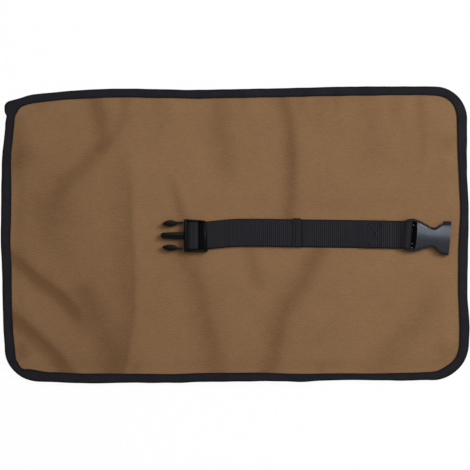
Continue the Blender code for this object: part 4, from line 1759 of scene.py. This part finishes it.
    def make_turn(self) -> None:
        """Makes the turn through the plug: under it, over its centre bar and back on top."""
        end, left, right = self.joins[-1], self.over_bar[0][0], self.over_bar[-1][0]
        corners = [(end, self.low), (left, self.low), *self.over_bar]
        corners += [(right, self.second), (end, self.second)]
        path = rounded_path(corners, self.turn_radius, 6)
        first = self.straight(path[1][0], path[0][0], self.low)
        last = self.straight(path[-2][0], path[-1][0], self.second)[::-1]
        bm = self.ribbon(first[:-1] + path[1:-1] + last[1:], -end)
        obj = self.piece("strap_turn", bm, "plug_loop", "strap_run_4")
        self.hinge(obj, "plug", "strap_4", self.bends[4])

    def make_tail(self) -> None:
        """Makes the tail that lies back on the run, hemmed at its end."""
        start, end = self.hem
        sunk_by, sunk_width, depth = self.furrow

        def near(x: float, place: float, span: Point) -> float:
            """A smooth rise from 0 to 1 near a place."""
            return ease(x, place + span[0], place + span[1])

        def furrow(x: float) -> float:
            """The furrow where the hem's folded edge ends, as a share of its depth."""
            return math.exp(-(((x - end + sunk_by) / sunk_width) ** 2))

        def hem(x: float, y: float) -> float:
            """The hem's extra thickness, with its furrow."""
            raised = self.hem_rise(y) * near(x, start, self.hem_slope)
            return raised - depth * furrow(x) - self.end_round * near(x, end, self.end_slope)

        def flare(x: float) -> float:
            """How far the hem stands out of the upper edge."""
            fall = 1 - near(x, end, self.flare_fall)
            return self.flare_width * near(x, start, self.flare_rise) * fall

        coarse, fine = self.tail_steps
        change = start - 3 * MM
        path = self.straight(change, end, self.second, fine)[:-1]
        path += self.straight(self.joins[-1], change, self.second, coarse)
        bm = self.ribbon(path, -end, swell=hem, flare=flare)
        # The furrow is also painted darker through this layer, as painted shade.
        shaded = bm.verts.layers.float.new("crease")
        for vert in bm.verts:
            vert[shaded] = furrow(vert.co.x)
        obj = self.piece("strap_tail", bm, "strap_tail_end", "strap_tail_middle")
        self.hinge(obj, "strap_4", "strap_3", self.bends[3])

    def hem_rise(self, y: float) -> float:
        """Measures how far the hem stands above the tail, from the place across it."""
        (even, more), (place, width) = self.hem_height, self.hem_bulge
        return even + more * math.exp(-(((y - place) / width) ** 2))

    def make_stitches(self) -> None:
        """Makes the box stitch of the patch and the rows of the hem."""
        middle = self.middle + self.stitch_shift
        level = self.second + self.cloth / 2 - self.stitch_sink
        left, right = self.patch_start + self.box_inset[0], self.patch_end - self.box_inset[1]
        low, high = middle - self.box_half, middle + self.box_half
        corners = [(left, low), (right, low), (right, high), (left, high)]
        sewing = Stitching(pitch=2.6 * MM, length=1.5 * MM, width=0.8 * MM, height=0.42 * MM)
        for line in (corners + corners[:1], corners[::2], corners[1::2]):
            sewing.sew([(x, y, level) for x, y in line])
        # The box stitch takes the darker thread, painted shade on the sunk stitches.
        obj = sewing.finish("box_stitches", self.finishes.sunk_thread)
        self.hinge(obj, "strap_1", "strip_8", self.bends[0])
        sewing = Stitching(pitch=2.4 * MM, length=1.4 * MM, width=0.8 * MM, height=0.42 * MM)
        first, length = self.hem_row
        for row in self.hem_rows:
            x = self.hem[0] + row
            place = self.middle + table_value(self.drift, x)
            across = [first + length * n / 13 for n in range(14)]
            sewing.sew([(x, place + y, level + self.hem_rise(y)) for y in across])
        obj = sewing.finish("hem_stitches", self.finishes.thread)
        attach(obj, "strap_3")

    def make_loop(self) -> None:
        """Makes the loop from the patch round the socket's bar and back."""
        centre = Vector((self.bar_x, self.bar_z))
        radius, middle, leave = self.loop_radius, self.loop_root, self.loop_leave

        def line(a: Vector, b: Vector, count: int) -> list[Point]:
            """Even points from a to b."""
            return [tuple(a.lerp(b, n / count)) for n in range(count + 1)]

        outside = Vector((self.patch_end, self.low))
        to_point = outside - centre
        way = to_point.normalized()
        way.rotate(Matrix.Rotation(math.acos(radius / to_point.length), 2))
        low_touch = centre + way * radius
        parting = outside.lerp(low_touch, (middle - outside.x) / (low_touch.x - outside.x))
        under = line(Vector((self.patch_start, self.low)), outside, 6)[:-1]
        under += line(outside, parting, 6)
        over_start = Vector((self.patch_middle, self.second))
        over_end = Vector((middle, self.second + self.loop_lift))
        over = line(over_start, over_end, 12)
        parts = [self.ribbon(path[::-1], -path[-1][0]) for path in (under, over)]
        obj = self.piece("loop_root", merged(parts), "socket_strap_lower", "socket_strap_upper")
        start, end = ((self.patch_end + shift, 0, 0) for shift in self.root_span)
        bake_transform(obj)
        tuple(start)
        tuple(end)

        high_touch = centre + radius * Vector((math.cos(leave), math.sin(leave)))
        falling = Vector((-math.sin(leave), math.cos(leave)))
        rest = Vector((self.loop_rest[0], self.second + self.loop_rest[1]))
        first, last = self.loop_pull
        bend = (high_touch, high_touch + first * falling, rest + Vector((last, 0)), rest)
        drop = []
        for t in (n / 14 for n in range(15)):
            shares = ((1 - t) ** 3, 3 * t * (1 - t) ** 2, 3 * t**2 * (1 - t), t**3)
            drop.append(tuple(sum((p * share for p, share in zip(bend, shares)), Vector((0, 0)))))
        begin = math.atan2(way.y, way.x)
        finish = leave + (2 * math.pi if leave < begin else 0)
        turn = []
        for n in range(1, 18):
            angle = begin + (finish - begin) * n / 18
            turn.append((centre.x + radius * math.cos(angle), centre.y + radius * math.sin(angle)))
        path = line(parting, low_touch, 9) + turn + drop + line(rest, over_end, 4)[1:]

        def shear(x: float) -> float:
            """The slant of the loop, which follows the socket's turn near the bar."""
            share = (x - self.loop_bend) / (self.bar_x - last - self.loop_bend)
            return -math.tan(self.bar_turn) * min(1.0, max(0.0, share))

        bm = self.ribbon(path[::-1], -middle, shear=shear)
        obj = self.piece("loop_end", bm, "socket_loop")
        start, end = ((self.loop_bend + shift, 0, 0) for shift in self.end_span)
        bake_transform(obj)
        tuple(start)
        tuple(end)

    def make(self) -> None:
        """Makes all the webbing."""
        self.make_run()
        self.make_turn()
        self.make_tail()
        self.make_loop()
        self.make_stitches()


# Buckle


@dataclass
class Plug:
    """The plug: a ladder frame for the webbing, a stop wall, a centre guide and two latches."""

    finishes: Finishes
    front: float = -55.8 * MM
    rear: float = -30.8 * MM
    half: float = 17.5 * MM
    rail: float = 2.5 * MM
    wall: float = 3.6 * MM
    level: float = 13.2 * MM
    barb: float = 7.5 * MM
    outer: float = 16.3 * MM
    shoulder: float = -63.5 * MM
    tip: float = -78.6 * MM
    arm: float = 2.1 * MM
    catch: float = 1.5 * MM
    wall_half: float = 4 * MM
    wall_round: float = 1.1 * MM
    bar_overlap: float = 0.8 * MM
    rail_start: float = 1.4 * MM
    frame_round: float = 0.7 * MM
    rail_half: float = 3.1 * MM
    latch_half: float = 2.1 * MM
    centre_bar: tuple = mm(-50.2, -41.6, 12.2, 14.3)
    rear_profile: tuple = mm(
        (-8.5, 12.4), (0, 12.4), (0, 15.2), (-0.9, 16.5), (-1.8, 16.8), (-3, 16.3), (-5, 15),
        (-7.4, 14), (-8.5, 13.4),
    )
    guide_reach: float = 24 * MM
    guide_width: float = 4 * MM
    guide_half: float = 2.3 * MM
    guide_nose: float = 3.1 * MM
    rib_half: float = 0.5 * MM
    rib_start: float = 6 * MM
    rib_heights: Point = mm(2, 2.9)
    corner_draw: float = 1.6 * MM
    corner_zone: Point = mm(3.2, 6)
    rear_slant: float = 0.07
    rear_zone: float = 8 * MM
    rear_narrowing: float = 1.7 * MM
    narrow_zone: Point = mm(0.4, 3)
    shoulder_steps: tuple = mm(1.3, 0.4, 1)
    root_gap: float = 0.3 * MM
    arm_foot: float = 1.5 * MM
    barb_bows: Triple = (0.55, 0.33, 0.25)

    def make_body(self) -> None:
        """Makes the frame: wall, bars, rails and guide."""
        half, level, slot = self.half, self.level, self.half - self.rail
        left, right, low, high = self.centre_bar
        wall_low = (self.front, -half, level - self.wall_half)
        wall_high = (self.front + self.wall, half, level + self.wall_half)
        reach = slot + self.bar_overlap
        parts = [rounded_box(wall_low, wall_high, self.wall_round), self.rear_bar()]
        parts.append(rounded_box((left, -reach, low), (right, reach, high), self.bar_overlap))
        for side in (-1, 1):
            inner, outer = sorted((side * half, side * slot))
            rail_low = (self.front + self.rail_start, inner, level - self.rail_half)
            rail_high = (self.rear, outer, level + self.rail_half)
            parts.append(rounded_box(rail_low, rail_high, self.frame_round))
        bm = merged(parts + self.guide())
        side_zone, front_zone = self.corner_zone
        outside_start, narrow_start = self.narrow_zone
        for vert in bm.verts:
            share = ease(vert.co.x, self.rear - self.rear_zone, self.rear)
            corner = ease(abs(vert.co.y), half - side_zone, half)
            front = 1 - ease(vert.co.x, self.front, self.front + front_zone)
            slant = share * self.rear_slant * vert.co.y
            vert.co.x += self.corner_draw * corner**2 * front - slant
            outside = ease(vert.co.y, slot + outside_start, half)
            narrow = outside * ease(vert.co.x, self.front + narrow_start, self.rear)
            vert.co.y -= self.rear_narrowing * narrow
        obj = to_object("plug_frame", bm, self.finishes.plug, Slot.PLUG, math.radians(50))
        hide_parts("plug_body")
        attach(obj, "plug")

    def guide(self) -> list[BMesh]:
        """Makes the centre guide with its round nose, and the rib on it.

        Returns:
            The two shapes.
        """
        tip, start, nose = self.front - self.guide_reach, self.front + MM, self.guide_nose
        turns = [math.radians(angle) for angle in range(90, -91, -15)]
        outline = [(start, -self.guide_width), (start, self.guide_width)]
        outline += [(tip + nose * (1 - math.cos(turn)), nose * math.sin(turn)) for turn in turns]
        rib_low = (tip + self.rib_start, -self.rib_half, self.level + self.rib_heights[0])
        rib_high = (start, self.rib_half, self.level + self.rib_heights[1])
        low, high = self.level - self.guide_half, self.level + self.guide_half
        rib = rounded_box(rib_low, rib_high, 0.3 * MM, 2)
        return [slab(outline, low, high, self.frame_round), rib]

    def rear_bar(self) -> BMesh:
        """Makes the bar over the strap: a long slope from the slot up to a ridge at its rear.

        Returns:
            The bar.
        """
        outline = [(self.rear + x, z) for x, z in self.rear_profile]
        bm = slab(outline, -self.half, self.half, 0.5 * MM)
        turn = Matrix.Rotation(math.radians(90), 4, "X")
        bmesh.ops.transform(bm, matrix=turn, verts=bm.verts[:])
        return bm

    def latch_outline(self, side: int) -> list[Point]:
        """Draws a latch from above: a slim arm, and a barb with a shoulder and a pointed nose.

        Args:
            side: 1 for the upper latch, -1 for the lower one.

        Returns:
            The outline.
        """
        root, shoulder = self.front - self.root_gap, self.shoulder
        square, step, drop = self.shoulder_steps
        tip_share, outer_bow, inner_bow = self.barb_bows
        arm = self.outer - self.catch
        nose = (self.tip, self.outer - self.barb * tip_share)
        foot = (shoulder, self.outer - self.barb + self.arm)
        points = [(root, arm), (shoulder, arm), (shoulder, self.outer - square)]
        points.append((shoulder - step, self.outer - drop))
        points += self.bow(points[-1], nose, self.barb * outer_bow)
        points += self.bow(nose, foot, self.barb * inner_bow)
        points += [(shoulder + self.arm_foot, arm - self.arm), (root, arm - self.arm)]
        return [(x, side * y) for x, y in points]

    @staticmethod
    def bow(start: Point, end: Point, rise: float, steps: int = 10) -> list[Point]:
        """Draws a bowed line.

        Args:
            start: where it starts.
            end: where it ends.
            rise: how far its middle stands out.
            steps: how many points it has.

        Returns:
            The points after its start.
        """
        a, b = Vector(start), Vector(end)
        across = Vector((b.y - a.y, a.x - b.x)).normalized()
        shares = [n / steps for n in range(1, steps + 1)]
        return [tuple(a.lerp(b, t) + across * rise * 4 * t * (1 - t)) for t in shares]

    def make_latches(self) -> None:
        """Makes the two sprung latches."""
        low, high = self.level - self.latch_half, self.level + self.latch_half
        for side, name in ((1, "upper"), (-1, "lower")):
            bm = slab(self.latch_outline(side), low, high, 0.45 * MM)
            obj = to_object(f"latch_{name}_arm", bm, self.finishes.plug, Slot.PLUG)
            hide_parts(f"plug_latch_{name}")
            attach(obj, f"latch_{name}")

    def make(self) -> None:
        """Makes the plug."""
        self.make_body()
        self.make_latches()


@dataclass
class Socket:
    """The socket: an hourglass shell with a hollow mouth, side windows and a slotted rear bar."""

    finishes: Finishes
    length: float = 45.5 * MM
    mouth: float = 18.3 * MM
    half_height: float = 4.5 * MM
    edge_height: float = 2.5 * MM
    rear_reach: float = 6.4 * MM
    rim: float = 1.9 * MM
    bar_radius: float = 2.2 * MM
    slot_end: float = 9.9 * MM
    slot_half: float = 15.1 * MM
    hollow_start: float = 19.3 * MM
    hollow_half: float = 14.4 * MM
    hollow_waist: float = 8.6 * MM
    hollow_height: float = 3 * MM
    window_start: float = 21.5 * MM
    window_end: float = 36.7 * MM
    window_height: float = 2 * MM
    # Each, in millimetres: distance from the bar, and how far the foot of the side leans in there.
    leans: tuple = mm((-6.4, 0.5), (6, 0.8), (15, 1.4), (24, 1.9), (32, 2.3), (45.5, 2.7))
    lower_lean: float = 0.4
    slot_foot: float = 4.2 * MM
    crown_power: float = 2.1
    rim_drop: float = 0.9 * MM
    groove_bow: float = 1.1 * MM
    groove_depth: float = 0.10 * MM
    groove_width: float = 0.32 * MM
    tooth_span: Point = mm(4.3, 6.9)
    tooth_height: float = 2.6 * MM
    tooth_round: float = 1.2 * MM
    slot_round: float = 2 * MM
    slot_reach: float = 9 * MM
    hollow_round: float = 0.8 * MM
    mouth_reach: float = 5 * MM
    window_reach: float = 26 * MM
    bar_overlap: float = 0.6 * MM
    rear_rows: Point = (0.2, 1.6)
    rows: int = 180
    top_steps: int = 26
    # Each, in millimetres: the tooth's lower and upper end across the socket, and its top's height.
    teeth: tuple = mm((-15.6, -12.2, -0.1), (-10.4, -7.8, -0.1), (-6.6, 8.4, -2.6), (9.4, 12, -0.1))
    grooves: tuple = mm(12.9, 15, 17.1, 19.2)
    place: tuple = mm(183.6, 0.8, 13.2)
    turn: float = math.radians(-5)
    # Each: share of the length from the bar, and share of the mouth's half width there.
    shares: tuple = (
        (-0.145, 0.8), (-0.09, 0.845), (0, 0.92), (0.09, 0.955), (0.19, 0.925), (0.31, 0.83),
        (0.43, 0.7), (0.53, 0.62), (0.6, 0.597), (0.655, 0.624), (0.7, 0.722), (0.755, 0.862),
        (0.815, 0.955), (0.9, 0.985), (1, 1),
    )

    def half_width(self, along: float) -> float:
        """Reads half the socket's width on one smooth curve.

        Args:
            along: distance from its bar towards its mouth.

        Returns:
            Half the width.
        """
        share = along / self.length
        stops = self.shares
        number = 1
        while number < len(stops) - 2 and share > stops[number + 1][0]:
            number += 1
        p0, p1, p2 = stops[number - 1], stops[number], stops[number + 1]
        p3 = stops[min(number + 2, len(stops) - 1)]
        span = p2[0] - p1[0]
        t = min(1.0, max(0.0, (share - p1[0]) / span))
        m1 = (p2[1] - p0[1]) / (p2[0] - p0[0]) * span
        m2 = (p3[1] - p1[1]) / (p3[0] - p1[0]) * span if p3[0] > p1[0] else 0.0
        return curve_value(t, p1[1], p2[1], m1, m2) * self.mouth

    def ring(self) -> list[Point]:
        """Draws the section's ring.

        Returns:
            Its points: shares of half the width and of half the height.
        """
        shares = [-1 + 2 * n / self.top_steps for n in range(self.top_steps + 1)]
        top = [(share * (1.5 - 0.5 * share**2), 1.0) for share in shares]
        under = [(x, -1.0) for x, _ in reversed(top)]
        right = [(1.0, 0.5), (1.0, 0.0), (1.0, -0.5)]
        return top + right + under + [(-1.0, -0.5), (-1.0, 0.0), (-1.0, 0.5)]

    def body(self) -> BMesh:
        """Makes the solid outer form, along its length.

        Returns:
            The form.
        """
        ring = self.ring()
        around = len(ring)
        start = -self.rear_reach + 0.02 * MM

        def place(first: float, second: float) -> Triple:
            """A point of the outer form."""
            along = start + (self.length - start) * first
            share, power = self.rear_rows
            if first < share:
                along = start + (self.length - start) * share * (first / share) ** power
            across, up = ring[round(second * around) % around]
            wide = self.half_width(along)
            side = wide * across
            crown = abs(side / self.mouth)
            fall = (self.half_height - self.edge_height) * crown**self.crown_power
            soft = max(0.0, 1 - wide * (1 - abs(across)) / self.rim)
            rise = self.half_height - fall - self.rim_drop * soft**2
            for line in self.grooves:
                beside = (along - line - self.groove_bow * across**2) / self.groove_width
                rise -= self.groove_depth * math.exp(-(beside**2))
            if along < 0:
                rise *= math.sqrt(max(0.0, 1 - (along / self.rear_reach) ** 2))
            lean = table_value(self.leans, along) * (1.0 if across > 0 else self.lower_lean)
            whole = ease(along, self.window_end - MM, self.window_end + MM)
            lean *= (1 - whole) * max(0.0, 2 * abs(up) - 1) + whole * abs(up)
            side *= 1 - lean / wide
            return along, side, rise * up

        bm = mapped_grid(self.rows, around, place, lambda a, b: (a, b))
        close_ends(bm)
        bmesh.ops.recalc_face_normals(bm, faces=bm.faces[:])
        return bm

    def make(self) -> None:
        """Makes the socket, cuts its openings and adds its bar and the teeth beside it."""
        body = linked("socket_shell", meshed("socket_shell", self.body()))
        slot_low = (-self.slot_reach, -self.slot_half, -self.slot_reach)
        slot_high = (self.slot_end, self.slot_half, self.slot_reach)
        slot = rounded_box(slot_low, slot_high, self.slot_round, 4)
        for vert in slot.verts:
            if vert.co.x > 0:
                slope = (self.slot_end - self.slot_foot) / (2 * self.half_height)
                vert.co.x -= slope * (self.half_height - vert.co.z)
        end, height = self.window_end, self.hollow_height
        cutters = [
            slot,
            self.hollow(end - MM, self.length + self.mouth_reach, self.hollow_half, height),
            self.hollow(self.hollow_start, end + MM, self.hollow_waist, height),
            self.hollow(self.window_start, end, self.window_reach, self.window_height),
        ]
        for number, cutter in enumerate(cutters):
            self.combine(body, meshed(f"cutter_{number}", cutter), "DIFFERENCE")
        bar = bmesh.new()
        place = Matrix.Rotation(math.radians(90), 4, "X")
        bmesh.ops.create_cone(
            bar, cap_ends=True, segments=32, radius1=self.bar_radius, radius2=self.bar_radius,
            depth=2 * (self.slot_half + self.bar_overlap), matrix=place,
        )
        self.combine(body, meshed("bar", bar), "UNION")
        rear, front = self.tooth_span
        for low, high, top in self.teeth:
            foot = (rear, low, top - self.tooth_height)
            tooth = rounded_box(foot, (front, high, top), self.tooth_round, 4)
            self.combine(body, meshed("tooth", tooth), "UNION")
        bm = bmesh.new()
        bm.from_mesh(body.data)
        bpy.data.objects.remove(body)
        spin = Matrix.Translation(self.place) @ Matrix.Rotation(self.turn, 4, "Z")
        bmesh.ops.transform(bm, matrix=spin, verts=bm.verts[:])
        obj = to_object("socket_body", bm, self.finishes.socket, Slot.SOCKET, math.radians(32))
        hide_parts("socket")
        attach(obj, "socket")

    def hollow(self, left: float, right: float, half: float, height: float) -> BMesh:
        """Makes a rounded block that is cut out of the shell.

        Args:
            left: its left end.
            right: its right end.
            half: half its width.
            height: half its height.

        Returns:
            The block.
        """
        return rounded_box((left, -half, -height), (right, half, height), self.hollow_round)

    @staticmethod
    def combine(body: Object, shape: Mesh, operation: str) -> None:
        """Cuts a shape out of the body or joins it on.

        Args:
            body: the body.
            shape: the shape.
            operation: DIFFERENCE or UNION.
        """
        tool = linked("tool", shape)
        modifier = body.modifiers.new("combine", "BOOLEAN")
        modifier.operation = operation
        modifier.solver = "EXACT"
        modifier.object = tool
        graph = bpy.context.evaluated_depsgraph_get()
        mesh = bpy.data.meshes.new_from_object(body.evaluated_get(graph))
        body.modifiers.clear()
        body.data = mesh
        bpy.data.objects.remove(tool)


# Studio


@dataclass
class Studio:
    """The pale floor, the soft lamps and the camera straight above."""

    camera_place: Triple = (-0.0005, 0.0005, 2.0084)
    focal_length: float = 143.09
    shadow_share: float = 0.04
    lamp_colour: Triple = (0.97, 0.98, 1.0)
    sky_low: float = 0.03
    sky_rise: float = 0.49
    floor_bounce: float = 0.22
    floor_half: float = 3.0
    sensor: float = 36.0
    far_end: float = 20.0
    lamps: tuple = (
        ("key lamp", (1.25, 0.75, 1.5), 0.9, 31.0),
        ("upper lamp", (0.1, 0.62, 2.4), 1.0, 11.0),
    )

    def make_floor(self) -> None:
        """Makes a white floor that keeps a soft shadow and is clear from below."""
        bm = bmesh.new()
        bmesh.ops.create_grid(bm, x_segments=1, y_segments=1, size=self.floor_half)
        mesh = meshed("floor", bm)
        graph = Graph("white floor")
        faint = graph.noise(graph.object_place(), 3.0, 2.0)
        white = graph.blend(faint, (0.94, 0.94, 0.94, 1), (0.96, 0.96, 0.96, 1))
        base = graph.add("ShaderNodeBsdfDiffuse", {}, {"Color": white})
        clear = graph.add("ShaderNodeBsdfTransparent", {}, {})
        rays = graph.add("ShaderNodeLightPath", {}, {})
        below = graph.add("ShaderNodeNewGeometry", {}, {}).out("Backfacing")
        share = 1 - rays.out("Is Camera Ray") * (1 - below) * self.shadow_share
        mixed = graph.add("ShaderNodeMixShader", {}, {0: share, 1: base.out(0), 2: clear.out(0)})
        graph.add("ShaderNodeOutputMaterial", {}, {0: mixed.out(0)})
        mesh.materials.append(graph.material)
        floor = linked("floor", mesh)
        floor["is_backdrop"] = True

    def make_lamp(self, name: str, place: Triple, size: float, power: float) -> None:
        """Makes a square soft lamp that faces the roll.

        Args:
            name: its name.
            place: where it stands.
            size: the length of its side.
            power: its power in watts.
        """
        lamp = bpy.data.lights.new(name, "AREA")
        lamp.shape = "SQUARE"
        lamp.size = size
        lamp.energy = power
        lamp.color = self.lamp_colour
        obj = linked(name, lamp)
        obj.location = place
        obj.rotation_euler = (-Vector(place)).to_track_quat("-Z", "Y").to_euler()

    def make_sky(self) -> None:
        """Makes a sky that is brighter overhead and shows as plain white behind the roll."""
        world = bpy.data.worlds.new("studio")
        world.use_nodes = True
        graph = Graph.of_world(world)
        place = graph.add("ShaderNodeTexCoord", {}, {}).out("Generated")
        height = graph.add("ShaderNodeSeparateXYZ", {}, {0: place}).out("Z")
        rays = graph.add("ShaderNodeLightPath", {}, {})
        under = 1 - height.ramp(-0.01, 0.01)
        mirrored = rays.out("Is Glossy Ray") + rays.out("Is Transmission Ray")
        white = rays.out("Is Camera Ray").most(mirrored * under)
        glow = height.size() * self.sky_rise + self.sky_low + under * self.floor_bounce
        strength = glow * (1 - white) + white
        inputs = {"Color": (1, 1, 1, 1), "Strength": strength}
        sky = graph.add("ShaderNodeBackground", {}, inputs)
        graph.add("ShaderNodeOutputWorld", {}, {0: sky.out(0)})
        bpy.context.scene.world = world

    def make(self) -> None:
        """Sets the scene's floor, lamps, sky and camera."""
        scene = bpy.context.scene
        self.make_floor()
        for lamp in self.lamps:
            self.make_lamp(*lamp)
        self.make_sky()
        scene.view_settings.view_transform = "Standard"
        camera = bpy.data.cameras.new("camera")
        camera.lens = self.focal_length
        camera.sensor_width = self.sensor
        camera.clip_end = self.far_end
        scene.camera = linked("camera", camera)
        scene.camera.location = self.camera_place


def write_sizes(packed: object, seen: object) -> None:
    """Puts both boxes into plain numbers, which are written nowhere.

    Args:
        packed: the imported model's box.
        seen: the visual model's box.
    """
    boxes = {"cad": packed, "visual": seen}
    plain = {name: [[float(v) for v in corner] for corner in box] for name, box in boxes.items()}


def main() -> None:
    """Builds the roll in order."""
    logging.basicConfig(level=logging.INFO, format="%(name)s %(message)s")
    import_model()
    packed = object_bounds()
    Studio().make()
    finishes = Finishes()
    Panel(Outline(), finishes).make()
    Webbing(finishes).make()
    Plug(finishes).make()
    Socket(finishes).make()
    write_sizes(packed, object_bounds())


if __name__ == "__main__":
    main()
